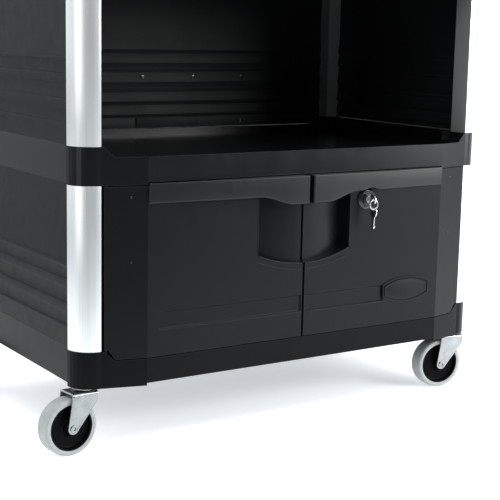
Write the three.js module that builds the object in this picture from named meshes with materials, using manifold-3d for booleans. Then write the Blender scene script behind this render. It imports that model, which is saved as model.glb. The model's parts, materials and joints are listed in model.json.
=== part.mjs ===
// Housekeeping cart: three moulded trays on eight aluminium corner posts, closed in by ribbed
// side and back panels, with a two-door locking cabinet below and four swivel casters.
//
// Millimetres. X runs along the length with the push handle at +X, Y runs from the doors
// (front, -Y) to the back, Z is up from the floor. The trays are centred on X = 0 and their
// corner posts start at Y = 0; the last lines move the origin to the middle of the footprint.

import * as THREE from 'three';
import { mergeVertices } from 'three/addons/utils/BufferGeometryUtils.js';
import Module from 'manifold-3d';

const wasm = await Module();
wasm.setup();

// ---------------------------------------------------------------- driving dimensions

const CLEARANCE = 0.3; // between two pieces that touch
const RUNNING = 0.5; // round a piece that turns

const BODY_LENGTH = 841; // over the corner posts
const BODY_DEPTH = 480; // over the corner posts
const CORNER_RADIUS = 41; // of the tray corners and the posts
const SECTION_HEIGHT = 267; // clear height between two trays

const TRAY_HEIGHT = 60.8;
const TRAY_WALL = 5;
const DECK_THICKNESS = 5;
const DECK_DROP = 11; // deck below the front lip
const LIP_DROP = 16; // front lip below the tray corners
const LIP_SLOPE = 17; // run of the slope between corner and lip
const FRONT_RIM = 12;
const SIDE_RIM = 18;
const SIDE_SETBACK = 9; // of the tray sides behind the corner posts
const CORNER_WEB = 9; // solid plastic beside the post seats
const FASCIA_RISE = 4.2; // of the fascia's lower edge between the bow creases

const CORNER_MARGIN = 4.5; // corner block past the post, where the bow starts
const BOW_START = 1.5; // forward of the posts at the corner blocks
const BOW_DEPTH = 19; // forward of the posts between the creases
const BOW_RUN = 68; // length of the slanted part of the bow

const POST_WALL = 2.5;
const SPIGOT_HEIGHT = 14;

const PANEL_THICKNESS = 6;
const RIB_HEIGHT = 3;
const RIB_EDGE = 1.5;
const RIBS = [
  { from: 29, to: 36 },
  { from: 56, to: 73 },
  { from: 96, to: 112 },
  { from: 131, to: 138 },
]; // above the tray corners

const DOOR_GAP = 4.6; // between the two doors
const DOOR_REVEAL = 1.6; // between a door and the trays
const DOOR_STEP = 3; // raised top edge stops short of the fascia crease
const DOOR_THICKNESS = 12;
const HINGE_INSET = 8.3; // pin axis from the post, along X
const HINGE_DEPTH = 0.9; // pin axis behind the post fronts
const HINGE_RELIEF = 6.5; // door shoulder steeper than the tray's, for the swing past it
const HINGE_STILE = 6; // inner face of the hinge stile behind the post fronts
const HINGE_STILE_WIDTH = 20;
const PIN_RADIUS = 2;
const PIN_REACH = 16; // into the door and into the tray

const BAND_LENGTH = 306; // of the pull rail on each door
const BAND_HEIGHT = 31.5;
const BAND_DROOP = 15.5; // extra height over the finger recess
const BAND_DROOP_FROM = 100;
const BAND_DROOP_TO = 36;
const BAND_END = 3; // forward of the door at the outer end
const BAND_BOW = 15; // more at the middle of the cart
const BAND_MEETING = 4.5; // rail end from the middle of the cart

const RECESS_HALF = 96.5;
const RECESS_DEPTH = 25.5;
const RECESS_CROWN = 16.5; // floor rises this much at the middle
const RECESS_HEIGHT = 154; // below the door top, at the middle
const RECESS_SHOULDER = 20; // less than that, at the sides
const RECESS_WALL = 4.5;

const GROOVE_FROM = 44; // above the door bottom
const GROOVE_TO = 74;
const GROOVE_DEPTH = 2.5;
const GROOVE_REACH = 320;

const BADGE_FROM = 179;
const BADGE_TO = 283;
const BADGE_END_HEIGHT = 22;
const BADGE_HEIGHT = 44;
const BADGE_THICKNESS = 2.4;

const LOCK_X = 132;
const LOCK_DROP = 49; // below the door top
const LOCK_COLLAR_RADIUS = 19;
const LOCK_COLLAR_PROUD = 5;
const LOCK_HOUSING_RADIUS = 9.5;
const LOCK_PLUG_RADIUS = 6.2;
const LOCK_ARCH = 22.5; // half width of the notch over the lock
const CAM_LENGTH = 60;
const CAM_WIDTH = 14;
const CAM_THICKNESS = 2.5;
const KEY_THICKNESS = 2.2;
const KEY_BOW = 9.5;
const KEY_HOLE = 2.6;
const KEY_BLADE = 6.6;
const KEY_BLADE_LENGTH = 24;
const KEY_RING_RADIUS = 8.5;
const KEY_RING_WIRE = 0.9;

const WHEEL_RADIUS = 47.2;
const TREAD_WIDTH = 31;
const TREAD_SHOULDER = 5;
const HUB_RADIUS = 38;
const HUB_BOSS_RADIUS = 12;
const CASTER_TRAIL = 32;
const CASTER_INSET_X = 24.5; // swivel axis from the post's outer side
const CASTER_INSET_Y = 30; // swivel axis from the post's front
const FORK_THICKNESS = 3;
const FORK_SIDE_GAP = 2.6; // wheel to leg
const FORK_NOSE = 14; // leg past the swivel axis, at the crown
const FORK_END_RADIUS = 9.5;
const CROWN_HEIGHT = 103.7; // top of the fork above the floor
const AXLE_RADIUS = 4;
const AXLE_HEAD_RADIUS = 5.8;
const AXLE_HEAD = 1.8;
const KINGPIN_RADIUS = 6;
const RACE_RADIUS = 21;
const RACE_THICKNESS = 4.2;
const RACE_CHAMFER = 2;
const STEM_RADIUS = 6;
const STEM_LENGTH = 34;

const HANDLE_REACH = 100; // bar axis past the tray end
const HANDLE_RISE = 99; // bar axis above the top tray
const HANDLE_BAR_RADIUS = 15;
const HANDLE_BOSS_RADIUS = 22;
const HANDLE_ARM_WIDTH = 26;
const HANDLE_SOCKET = 14;

// ---------------------------------------------------------------- derived places

const HALF_LENGTH = BODY_LENGTH / 2;
const CORNER_X = HALF_LENGTH - CORNER_RADIUS; // inner flat of each post
const BLOCK_X = CORNER_X - CORNER_MARGIN;
const CREASE_X = BLOCK_X - BOW_RUN;
const SIDE_X = HALF_LENGTH - SIDE_SETBACK;
const BACK_Y = BODY_DEPTH - SIDE_SETBACK;
const AXLE_LENGTH = TREAD_WIDTH + 2 * (FORK_SIDE_GAP + FORK_THICKNESS + CLEARANCE);
const CASTER_HEIGHT = CROWN_HEIGHT + RUNNING + RACE_THICKNESS + CLEARANCE;
const TRAY_PITCH = TRAY_HEIGHT + SECTION_HEIGHT;
const TRAY_LEVELS = {
  bottom: CASTER_HEIGHT,
  middle: CASTER_HEIGHT + TRAY_PITCH,
  top: CASTER_HEIGHT + 2 * TRAY_PITCH,
};
const DOOR_BOTTOM = TRAY_LEVELS.bottom + TRAY_HEIGHT - LIP_DROP + DOOR_REVEAL;
const DOOR_TOP = TRAY_LEVELS.middle + FASCIA_RISE - DOOR_REVEAL;
const HINGE_X = CORNER_X - HINGE_INSET;
const LOCK_Z = DOOR_TOP - LOCK_DROP;

const ENDS = { left: -1, right: 1 };
const SIDES = { front: -1, back: 1 };

// ---------------------------------------------------------------- materials

function finish(colour, roughness, metalness) {
  return () => new THREE.MeshStandardMaterial({ color: colour, roughness, metalness });
}

const trayPlastic = finish(0x1b1d1f, 0.42, 0);
const panelPlastic = finish(0x2b2e31, 0.5, 0);
const doorPlastic = finish(0x26292b, 0.46, 0);
const badgePlastic = finish(0x3a3e41, 0.5, 0);
const satinAluminium = finish(0xd2d6d3, 0.34, 0.85);
const zincPlate = finish(0xc3cac8, 0.3, 0.95);
const chrome = finish(0xd9dcdd, 0.12, 1);
const blackNickel = finish(0x1a1a1b, 0.3, 0.6);
const keyBrass = finish(0xb9b6a8, 0.3, 1);
const treadRubber = finish(0x9fa8a6, 0.7, 0);
const hubPlastic = finish(0x0d0f10, 0.4, 0);

// ---------------------------------------------------------------- solid helpers

function extrude(outline, depth) {
  const shape = new THREE.Shape(outline.map(([x, y]) => new THREE.Vector2(x, y)));
  return new THREE.ExtrudeGeometry(shape, { depth, bevelEnabled: false });
}

/** Prism of an (x, y) outline, from z0 up to z1. */
function upright(outline, z0, z1) {
  return extrude(outline, z1 - z0).translate(0, 0, z0);
}

/** Prism of an (x, z) outline, from y0 back to y1. */
function facingFront(outline, y0, y1) {
  return extrude(outline, y1 - y0).rotateX(Math.PI / 2).translate(0, y1, 0);
}

/** Prism of a (y, z) outline, from x0 across to x1. */
function facingSide(outline, x0, x1) {
  const yzxOrder = new THREE.Matrix4().set(0, 0, 1, 0, 1, 0, 0, 0, 0, 1, 0, 0, 0, 0, 0, 1);
  return extrude(outline, x1 - x0).applyMatrix4(yzxOrder).translate(x0, 0, 0);
}

function block(x0, x1, y0, y1, z0, z1) {
  const box = new THREE.BoxGeometry(x1 - x0, y1 - y0, z1 - z0);
  return box.translate((x0 + x1) / 2, (y0 + y1) / 2, (z0 + z1) / 2);
}

/** Solid turned about Z from a (radius, z) profile that starts and ends on the axis or closes. */
function turned(profile, segments) {
  const points = profile.map(([radius, z]) => new THREE.Vector2(radius, z));
  return new THREE.LatheGeometry(points, segments).rotateX(Math.PI / 2);
}

/** The same, lying along Y. */
function turnedAlongY(profile, segments) {
  return turned(profile, segments).rotateX(Math.PI / 2);
}

function rod(radius, z0, z1, segments = 20) {
  const cylinder = new THREE.CylinderGeometry(radius, radius, z1 - z0, segments);
  return cylinder.rotateX(Math.PI / 2).translate(0, 0, (z0 + z1) / 2);
}

function rodAlongY(radius, y0, y1, segments = 20) {
  const cylinder = new THREE.CylinderGeometry(radius, radius, y1 - y0, segments);
  return cylinder.translate(0, (y0 + y1) / 2, 0);
}

function arc(x, y, radius, from, to, steps) {
  return Array.from({ length: steps + 1 }, (_, i) => {
    const angle = from + ((to - from) * i) / steps;
    return [x + radius * Math.cos(angle), y + radius * Math.sin(angle)];
  });
}

function solidOf(geometry) {
  const bare = geometry.clone();
  bare.deleteAttribute('normal');
  bare.deleteAttribute('uv');
  const merged = mergeVertices(bare, 1e-4);
  return new wasm.Manifold(
    new wasm.Mesh({
      numProp: 3,
      vertProperties: new Float32Array(merged.getAttribute('position').array),
      triVerts: new Uint32Array(merged.getIndex().array),
    }),
  );
}

function geometryOf(solid) {
  const mesh = solid.getMesh();
  const geometry = new THREE.BufferGeometry();
  geometry.setAttribute('position', new THREE.BufferAttribute(new Float32Array(mesh.vertProperties), 3));
  geometry.setIndex(new THREE.BufferAttribute(new Uint32Array(mesh.triVerts), 1));
  geometry.computeVertexNormals();
  return geometry;
}

function join(...geometries) {
  return geometryOf(geometries.map(solidOf).reduce((whole, next) => whole.add(next)));
}

function cut(geometry, ...tools) {
  return geometryOf(tools.map(solidOf).reduce((whole, next) => whole.subtract(next), solidOf(geometry)));
}

function common(first, second) {
  return geometryOf(solidOf(first).intersect(solidOf(second)));
}

function piece(name, geometry, material) {
  const mesh = new THREE.Mesh(geometry, material());
  mesh.name = name;
  return mesh;
}

function groupAt(x, y, z, ...children) {
  const group = new THREE.Group();
  group.position.set(x, y, z);
  group.add(...children);
  return group;
}

/** An outline with its X values mirrored for the left end of the cart. */
function mirrored(outline, end) {
  return outline.map(([x, y]) => [end * x, y]);
}

// ---------------------------------------------------------------- trays

/** Front face of the bowed fascia and doors, as Y at a distance from the middle. */
function bowFront(x) {
  const along = THREE.MathUtils.clamp((BLOCK_X - Math.abs(x)) / BOW_RUN, 0, 1);
  return -BOW_START - (BOW_DEPTH - BOW_START) * along;
}

/** Quarter disc of a corner post, grown or shrunk, as plan points for one corner. */
function quarterRound(end, side, radius, inset) {
  const centreY = side < 0 ? CORNER_RADIUS : BODY_DEPTH - CORNER_RADIUS;
  const start = [inset, inset];
  const sweep = Math.asin(inset / radius);
  const curve = arc(0, 0, radius, sweep, Math.PI / 2 - sweep, 8);
  return [start, ...curve].map(([x, y]) => [end * (CORNER_X + x), centreY + side * y]);
}

/** Right half of the tray's plan, from the middle of the front round to the middle of the back. */
function trayHalfPlan() {
  return [
    [CREASE_X, -BOW_DEPTH],
    [BLOCK_X, -BOW_START],
    ...arc(CORNER_X, CORNER_RADIUS, CORNER_RADIUS, -Math.PI / 2, 0, 8),
    [SIDE_X, CORNER_RADIUS + CORNER_MARGIN],
    [SIDE_X, BODY_DEPTH - CORNER_RADIUS - CORNER_MARGIN],
    ...arc(CORNER_X, BODY_DEPTH - CORNER_RADIUS, CORNER_RADIUS, 0, Math.PI / 2, 8),
    [BLOCK_X, BACK_Y],
  ];
}

function trayPlan() {
  const half = trayHalfPlan();
  return [...half, ...mirrored(half, -1).reverse()];
}

/** The hollow under the deck, kept clear of the four corner blocks. */
function underside(height) {
  const innerX = CORNER_X - CORNER_WEB;
  const creaseX = CREASE_X + 1;
  const frontHalf = [
    [creaseX, -BOW_DEPTH + TRAY_WALL],
    [innerX, -BOW_START + TRAY_WALL],
    [innerX, BACK_Y - TRAY_WALL],
  ];
  const lengthwise = upright([...frontHalf, ...mirrored(frontHalf, -1).reverse()], -1, height);
  const edgeY = CORNER_RADIUS + CORNER_WEB;
  const sideX = SIDE_X - TRAY_WALL;
  const crosswise = block(-sideX, sideX, edgeY, BODY_DEPTH - edgeY, -1, height);
  return join(lengthwise, crosswise);
}

/** Everything above the deck, inside the rims. */
function deckWell(deckZ) {
  const high = TRAY_HEIGHT + 1;
  const innerX = SIDE_X - SIDE_RIM;
  const blockY = CORNER_RADIUS + CORNER_MARGIN;
  const wellHalf = [
    [CREASE_X, FRONT_RIM - BOW_DEPTH],
    [BLOCK_X - LIP_SLOPE, FRONT_RIM - BOW_START],
    [BLOCK_X - LIP_SLOPE, blockY],
    [innerX, blockY],
    [innerX, BODY_DEPTH - blockY],
    [BLOCK_X, BODY_DEPTH - blockY],
    [BLOCK_X, BACK_Y - SIDE_RIM],
  ];
  return upright([...wellHalf, ...mirrored(wellHalf, -1).reverse()], deckZ, high);
}

/** Material above the front and back lips, between the sloped corner shoulders. */
function lipDip(y0, y1) {
  const lip = TRAY_HEIGHT - LIP_DROP;
  const half = [
    [BLOCK_X - LIP_SLOPE, lip],
    [BLOCK_X, TRAY_HEIGHT],
    [BLOCK_X, TRAY_HEIGHT + 1],
  ];
  return facingFront([...half, ...mirrored(half, -1).reverse()], y0, y1);
}

/** Seat that fits inside a post, above or below the tray corner. */
function spigot(end, side, z0, z1) {
  const inset = POST_WALL + CLEARANCE;
  return upright(quarterRound(end, side, CORNER_RADIUS - inset, inset), z0, z1);
}

function everyCorner(make) {
  return Object.values(ENDS).flatMap((end) => Object.values(SIDES).map((side) => make(end, side)));
}

function casterAxis(end, side) {
  const x = end * (HALF_LENGTH - CASTER_INSET_X);
  const y = side < 0 ? CASTER_INSET_Y : BODY_DEPTH - CASTER_INSET_Y;
  return [x, y];
}

function hingeBore(end, z0, z1) {
  return rod(PIN_RADIUS + CLEARANCE, z0, z1, 16).translate(end * HINGE_X, HINGE_DEPTH, 0);
}

/** A tray; `posts` says where it carries post seats, `doors` which edge the hinge pins enter. */
function tray({ above, below, casters, doors }) {
  const deckZ = TRAY_HEIGHT - LIP_DROP - DECK_DROP;
  const far = BOW_DEPTH + 1;
  const tools = [
    underside(deckZ - DECK_THICKNESS),
    deckWell(deckZ),
    lipDip(-far, CORNER_RADIUS),
    lipDip(BODY_DEPTH - CORNER_RADIUS, BODY_DEPTH + 1),
    block(-CREASE_X, CREASE_X, -far, TRAY_WALL - BOW_DEPTH + 1, -1, FASCIA_RISE),
  ];
  if (casters) {
    tools.push(
      ...everyCorner((end, side) => {
        const [x, y] = casterAxis(end, side);
        return rod(STEM_RADIUS + CLEARANCE, -1, STEM_LENGTH + 1).translate(x, y, 0);
      }),
    );
  }
  if (doors === 'above') {
    const boreFoot = TRAY_HEIGHT - PIN_REACH - CLEARANCE;
    tools.push(...Object.values(ENDS).map((end) => hingeBore(end, boreFoot, TRAY_HEIGHT)));
  }
  if (doors === 'below') {
    tools.push(...Object.values(ENDS).map((end) => hingeBore(end, -1, PIN_REACH)));
  }
  const body = cut(upright(trayPlan(), 0, TRAY_HEIGHT), ...tools);
  const seatTop = TRAY_HEIGHT + SPIGOT_HEIGHT;
  const seats = [
    ...(above ? everyCorner((end, side) => spigot(end, side, TRAY_HEIGHT - 1, seatTop)) : []),
    ...(below ? everyCorner((end, side) => spigot(end, side, -SPIGOT_HEIGHT, 1)) : []),
  ];
  return join(body, ...seats);
}

function trays() {
  const kinds = {
    bottom: { above: true, below: false, casters: true, doors: 'above' },
    middle: { above: true, below: true, casters: false, doors: 'below' },
    top: { above: false, below: true, casters: false, doors: 'none' },
  };
  return Object.entries(kinds).map(([level, kind]) =>
    groupAt(0, 0, TRAY_LEVELS[level], piece(`${level}_tray`, tray(kind), trayPlastic)),
  );
}

// ---------------------------------------------------------------- posts

/** Quarter-round aluminium tube. */
function post(end, side) {
  const length = SECTION_HEIGHT - 2 * CLEARANCE;
  const outer = upright(quarterRound(end, side, CORNER_RADIUS, 0), 0, length);
  const bore = upright(quarterRound(end, side, CORNER_RADIUS - POST_WALL, POST_WALL), -1, length + 1);
  return cut(outer, bore);
}

function posts() {
  const starts = { lower: TRAY_LEVELS.bottom, upper: TRAY_LEVELS.middle };
  return Object.entries(starts).flatMap(([section, level]) =>
    Object.entries(ENDS).flatMap(([endName, end]) =>
      Object.entries(SIDES).map(([sideName, side]) => {
        const name = `${section}_${sideName}_${endName}_post`;
        return groupAt(0, 0, level + TRAY_HEIGHT + CLEARANCE, piece(name, post(end, side), satinAluminium));
      }),
    ),
  );
}

// ---------------------------------------------------------------- panels

/** Section of a ribbed panel as (across, height), outer face at 0 and ribs standing out of it. */
function panelSection(foot) {
  const top = SECTION_HEIGHT - CLEARANCE;
  const ribs = RIBS.flatMap(({ from, to }) => [
    [0, from],
    [RIB_HEIGHT, from + RIB_EDGE],
    [RIB_HEIGHT, to - RIB_EDGE],
    [0, to],
  ]);
  const hollows = RIBS.flatMap(({ from, to }) => [
    [0, from],
    [RIB_HEIGHT, from + RIB_EDGE],
    [RIB_HEIGHT, to - RIB_EDGE],
    [0, to],
  ]).map(([depth, z]) => [depth - PANEL_THICKNESS, z]);
  return [
    [0, foot + CLEARANCE],
    ...ribs,
    [0, top],
    [-PANEL_THICKNESS, top],
    ...hollows.reverse(),
    [-PANEL_THICKNESS, foot + CLEARANCE],
  ];
}

function sidePanel(end) {
  const outline = panelSection(0).map(([across, z]) => [end * (SIDE_X + across), z]);
  const start = CORNER_RADIUS + CLEARANCE;
  return facingFront(outline, start, BODY_DEPTH - start);
}

function backPanel() {
  const outline = panelSection(-LIP_DROP).map(([across, z]) => [BACK_Y + across, z]);
  const shoulder = BLOCK_X - LIP_SLOPE;
  const reach = CORNER_X - CLEARANCE;
  const wide = facingSide(outline, -reach, reach);
  const corners = [-1, 1].map((end) =>
    facingFront(
      mirrored(
        [
          [shoulder - CLEARANCE, -LIP_DROP - 1],
          [shoulder - CLEARANCE, CLEARANCE - LIP_DROP],
          [BLOCK_X - CLEARANCE, CLEARANCE],
          [reach + 1, CLEARANCE],
          [reach + 1, -LIP_DROP - 1],
        ],
        end,
      ),
      BACK_Y - PANEL_THICKNESS - 1,
      BODY_DEPTH,
    ),
  );
  return cut(wide, ...corners);
}

function panels() {
  const starts = { lower: TRAY_LEVELS.bottom, upper: TRAY_LEVELS.middle };
  return Object.entries(starts).flatMap(([section, level]) => {
    const sidePieces = Object.entries(ENDS).map(([name, end]) =>
      piece(`${section}_${name}_panel`, sidePanel(end), panelPlastic),
    );
    const back = piece(`${section}_back_panel`, backPanel(), panelPlastic);
    return [groupAt(0, 0, level + TRAY_HEIGHT, ...sidePieces, back)];
  });
}

// ---------------------------------------------------------------- doors

/** Door leaf in plan: bowed face, parallel inner face and a thinner stile at the hinge. */
function leafPlan() {
  const stile = BLOCK_X - HINGE_STILE_WIDTH;
  const inner = stile - HINGE_STILE_WIDTH / 2;
  const meeting = DOOR_GAP / 2;
  return [
    [meeting, -BOW_DEPTH],
    [CREASE_X, -BOW_DEPTH],
    [BLOCK_X, -BOW_START],
    [BLOCK_X, HINGE_STILE],
    [stile, HINGE_STILE],
    [inner, bowFront(inner) + DOOR_THICKNESS],
    [CREASE_X, DOOR_THICKNESS - BOW_DEPTH],
    [meeting, DOOR_THICKNESS - BOW_DEPTH],
  ];
}

/** Smooth step from 0 to 1, used for the rail's drooping lower edge. */
function ease(from, to, x) {
  return THREE.MathUtils.smoothstep(to + from - x, to, from);
}

/** Pull rail across the door top, bowed forward to the middle of the cart. */
function pullRail(end) {
  const steps = 8;
  const bowed = Array.from({ length: steps + 1 }, (_, i) => {
    const x = BAND_MEETING + ((BAND_LENGTH - BAND_MEETING) * i) / steps;
    return [x, -BOW_DEPTH - BAND_END - BAND_BOW * (1 - (x / BAND_LENGTH) ** 2)];
  });
  const plan = [[BAND_MEETING, 1 - BOW_DEPTH], ...bowed, [BAND_LENGTH, 1 - BOW_DEPTH]];
  const droop = Array.from({ length: steps + 1 }, (_, i) => {
    const x = BAND_DROOP_TO + ((BAND_DROOP_FROM - BAND_DROOP_TO) * i) / steps;
    return [x, DOOR_TOP - BAND_HEIGHT - BAND_DROOP * ease(BAND_DROOP_TO, BAND_DROOP_FROM, x)];
  });
  const face = [
    [BAND_MEETING, DOOR_TOP],
    [BAND_MEETING, DOOR_TOP - BAND_HEIGHT - BAND_DROOP],
    ...droop,
    [BAND_LENGTH, DOOR_TOP - BAND_HEIGHT],
    [BAND_LENGTH, DOOR_TOP],
  ];
  const deep = BOW_DEPTH + BAND_END + BAND_BOW + 1;
  return common(
    upright(mirrored(plan, end), DOOR_BOTTOM, DOOR_TOP),
    facingFront(mirrored(face, end), -deep, 2 - BOW_DEPTH),
  );
}

/** Finger recess under the rail; `grow` makes the same shape larger for its backing. */
function fingerRecess(end, grow) {
  const steps = 8;
  const half = RECESS_HALF + grow;
  const floor = Array.from({ length: steps + 1 }, (_, i) => {
    const x = (half * i) / steps;
    return [x, RECESS_DEPTH - BOW_DEPTH + grow - RECESS_CROWN * (1 - (x / half) ** 2)];
  });
  const front = grow > 0 ? DOOR_THICKNESS / 2 : -1;
  const start = grow > 0 ? DOOR_GAP / 2 : 0;
  const plan = [[start, front - BOW_DEPTH], ...floor.filter(([x]) => x > start), [half, front - BOW_DEPTH]];
  plan.splice(1, 0, [start, floor[0][1]]);
  const low = DOOR_TOP - RECESS_HEIGHT - grow;
  const sill = Array.from({ length: steps + 1 }, (_, i) => {
    const x = (half * i) / steps;
    return [x, low + RECESS_SHOULDER * (x / half) ** 2];
  });
  const high = DOOR_TOP - BAND_HEIGHT + grow;
  const face = [...sill, [half, high], [0, high]];
  const back = RECESS_DEPTH + grow + 1;
  return common(
    upright(mirrored(plan, end), DOOR_BOTTOM, DOOR_TOP),
    facingFront(mirrored(face, end), -BOW_DEPTH - 2, back),
  );
}

/** Corner of the door that follows the tray's sloped shoulder. */
function shoulderCut(end) {
  const low = DOOR_BOTTOM - 1;
  const shoulder = BLOCK_X - LIP_SLOPE - CLEARANCE;
  return facingFront(
    mirrored(
      [
        [shoulder, low],
        [shoulder, DOOR_BOTTOM],
        [BLOCK_X - HINGE_RELIEF, DOOR_BOTTOM + LIP_DROP],
        [BLOCK_X + 1, DOOR_BOTTOM + LIP_DROP],
        [BLOCK_X + 1, low],
      ],
      end,
    ),
    -BOW_DEPTH - 1,
    DOOR_THICKNESS,
  );
}

function grooveCut(end, from, to) {
  const deep = GROOVE_DEPTH - BOW_DEPTH;
  const z0 = DOOR_BOTTOM + GROOVE_FROM;
  const z1 = DOOR_BOTTOM + GROOVE_TO;
  const section = [
    [-BOW_DEPTH - 1, z0 - 1],
    [deep, z0 + GROOVE_DEPTH],
    [deep, z1 - GROOVE_DEPTH],
    [-BOW_DEPTH - 1, z1 + 1],
  ];
  return facingSide(section, Math.min(end * from, end * to), Math.max(end * from, end * to));
}

function doorLeaf(end) {
  const leaf = upright(mirrored(leafPlan(), end), DOOR_BOTTOM, DOOR_TOP);
  const solid = join(leaf, pullRail(end), fingerRecess(end, RECESS_WALL));
  const pinLow = DOOR_BOTTOM - 1;
  const pinTop = TRAY_LEVELS.middle - DOOR_REVEAL;
  const raised = CREASE_X - DOOR_STEP;
  const tools = [
    fingerRecess(end, 0),
    shoulderCut(end),
    block(
      Math.min(end * raised, end * HALF_LENGTH),
      Math.max(end * raised, end * HALF_LENGTH),
      -BOW_DEPTH - 1,
      DOOR_THICKNESS,
      pinTop,
      DOOR_TOP + 1,
    ),
    hingeBore(end, pinLow, TRAY_LEVELS.bottom + TRAY_HEIGHT + PIN_REACH + 1),
    hingeBore(end, pinTop - PIN_REACH - 1, DOOR_TOP + 1),
  ];
  if (end === ENDS.left) {
    tools.push(grooveCut(end, DOOR_GAP, GROOVE_REACH - BOW_RUN / 2));
  } else {
    const lockBore = rodAlongY(LOCK_HOUSING_RADIUS + CLEARANCE, -BOW_DEPTH - 1, DOOR_THICKNESS);
    const arch = rodAlongY(LOCK_ARCH, -BOW_DEPTH - BAND_END - BAND_BOW - 1, -BOW_DEPTH, 32);
    tools.push(grooveCut(end, DOOR_GAP, BADGE_FROM));
    tools.push(lockBore.translate(LOCK_X, 0, LOCK_Z), arch.translate(LOCK_X, 0, LOCK_Z));
  }
  return cut(solid, ...tools);
}

/** Raised barrel-shaped plate on the right door. */
function badge() {
  const steps = 8;
  const middle = (BADGE_FROM + BADGE_TO) / 2;
  const half = (BADGE_TO - BADGE_FROM) / 2;
  const z = DOOR_BOTTOM + (GROOVE_FROM + GROOVE_TO) / 2 + 3;
  const edge = (sign) =>
    Array.from({ length: steps + 1 }, (_, i) => {
      const along = -1 + (2 * i) / steps;
      const height = BADGE_END_HEIGHT + (BADGE_HEIGHT - BADGE_END_HEIGHT) * (1 - along ** 2);
      return [middle - sign * half * along, z + (sign * height) / 2];
    });
  const face = -BOW_DEPTH - CLEARANCE;
  return facingFront([...edge(1), ...edge(-1)], face - BADGE_THICKNESS, face);
}

function hingePin(z0) {
  return rod(PIN_RADIUS, z0, z0 + 2 * PIN_REACH, 16);
}

function doors() {
  return Object.entries(ENDS).map(([name, end]) => {
    const leaf = doorLeaf(end).translate(-end * HINGE_X, -HINGE_DEPTH, 0);
    const group = groupAt(end * HINGE_X, HINGE_DEPTH, 0, piece(`${name}_door`, leaf, doorPlastic));
    if (end === ENDS.right) {
      group.add(groupAt(-HINGE_X, -HINGE_DEPTH, 0, piece('door_badge', badge(), badgePlastic), lock()));
    }
    return group;
  });
}

function hingePins() {
  const low = TRAY_LEVELS.bottom + TRAY_HEIGHT - PIN_REACH;
  const high = TRAY_LEVELS.middle - PIN_REACH - CLEARANCE;
  return Object.entries(ENDS).map(([name, end]) =>
    groupAt(
      end * HINGE_X,
      HINGE_DEPTH,
      0,
      piece(`${name}_door_lower_pin`, hingePin(low), zincPlate),
      piece(`${name}_door_upper_pin`, hingePin(high), zincPlate),
    ),
  );
}

// ---------------------------------------------------------------- lock

function lockCollar() {
  const bore = LOCK_HOUSING_RADIUS + CLEARANCE;
  const face = -BOW_DEPTH - CLEARANCE;
  const ring = [
    [bore, 0],
    [LOCK_COLLAR_RADIUS, 0],
    [LOCK_COLLAR_RADIUS, LOCK_COLLAR_PROUD * 0.4],
    [LOCK_COLLAR_RADIUS - 4, LOCK_COLLAR_PROUD],
    [bore, LOCK_COLLAR_PROUD],
    [bore, 0],
  ];
  return turnedAlongY(ring, 24).translate(0, face, 0);
}

/** Fixed barrel of the lock, open along its axis for the plug. */
function lockHousing() {
  const front = -BOW_DEPTH - LOCK_COLLAR_PROUD - 2;
  const back = DOOR_THICKNESS - BOW_DEPTH + 6;
  const shell = rodAlongY(LOCK_HOUSING_RADIUS, front, back, 28);
  return cut(shell, rodAlongY(LOCK_PLUG_RADIUS + CLEARANCE, front - 1, back + 1, 24));
}

function lockNut() {
  const seat = DOOR_THICKNESS - BOW_DEPTH + CLEARANCE;
  const nut = rodAlongY(LOCK_HOUSING_RADIUS + 5, seat, seat + 4.5, 6);
  return cut(nut, rodAlongY(LOCK_HOUSING_RADIUS + CLEARANCE, seat - 1, seat + 6, 28));
}

/** Turning plug with its key slot; the tail carries the cam. */
function lockPlug() {
  const front = -BOW_DEPTH - LOCK_COLLAR_PROUD - 2.5;
  const back = DOOR_THICKNESS - BOW_DEPTH + 6 + CLEARANCE;
  const plug = join(
    rodAlongY(LOCK_PLUG_RADIUS, front, back, 24),
    block(-3, 3, back - 1, back + CAM_THICKNESS + 2, -3, 3),
  );
  const slotX = KEY_THICKNESS / 2 + CLEARANCE;
  const slotZ = KEY_BLADE / 2 + CLEARANCE;
  return cut(plug, block(-slotX, slotX, front - 1, front + KEY_BLADE_LENGTH - 2, -slotZ, slotZ));
}

/** Cam that lies along the door when unlocked and stands up behind the fascia when locked. */
function lockCam() {
  const seat = DOOR_THICKNESS - BOW_DEPTH + 6 + 2 * CLEARANCE;
  const half = CAM_WIDTH / 2;
  const outline = [
    ...arc(0, 0, half, Math.PI / 2, (3 * Math.PI) / 2, 8),
    [CAM_LENGTH - 3, -half],
    [CAM_LENGTH, 3 - half],
    [CAM_LENGTH, half - 3],
    [CAM_LENGTH - 3, half],
  ];
  const hole = 3 + CLEARANCE;
  return cut(
    facingFront(outline, seat, seat + CAM_THICKNESS),
    block(-hole, hole, seat - 1, seat + CAM_THICKNESS + 1, -hole, hole),
  );
}

/** Flat key in the YZ plane: round bow at the origin, blade towards +Y. */
function keyBlank(bladeLength) {
  const neck = KEY_BOW * 0.8;
  const half = KEY_BLADE / 2;
  const swing = Math.asin(half / KEY_BOW);
  const outline = [
    ...arc(0, 0, KEY_BOW, swing, 2 * Math.PI - swing, 20),
    [neck + bladeLength - 3, -half],
    [neck + bladeLength, 0],
    [neck + bladeLength - 3, half],
  ];
  const blank = facingSide(outline, -KEY_THICKNESS / 2, KEY_THICKNESS / 2);
  const hole = rod(KEY_HOLE, -KEY_THICKNESS, KEY_THICKNESS, 16).rotateY(Math.PI / 2);
  return cut(blank, hole.translate(0, KEY_HOLE + 2.5 - KEY_BOW, 0));
}

function keyRing() {
  const steps = 6;
  const wire = arc(KEY_RING_RADIUS, 0, KEY_RING_WIRE, 0, 2 * Math.PI, steps);
  wire[steps] = wire[0];
  return turnedAlongY(wire, 20);
}

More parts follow.
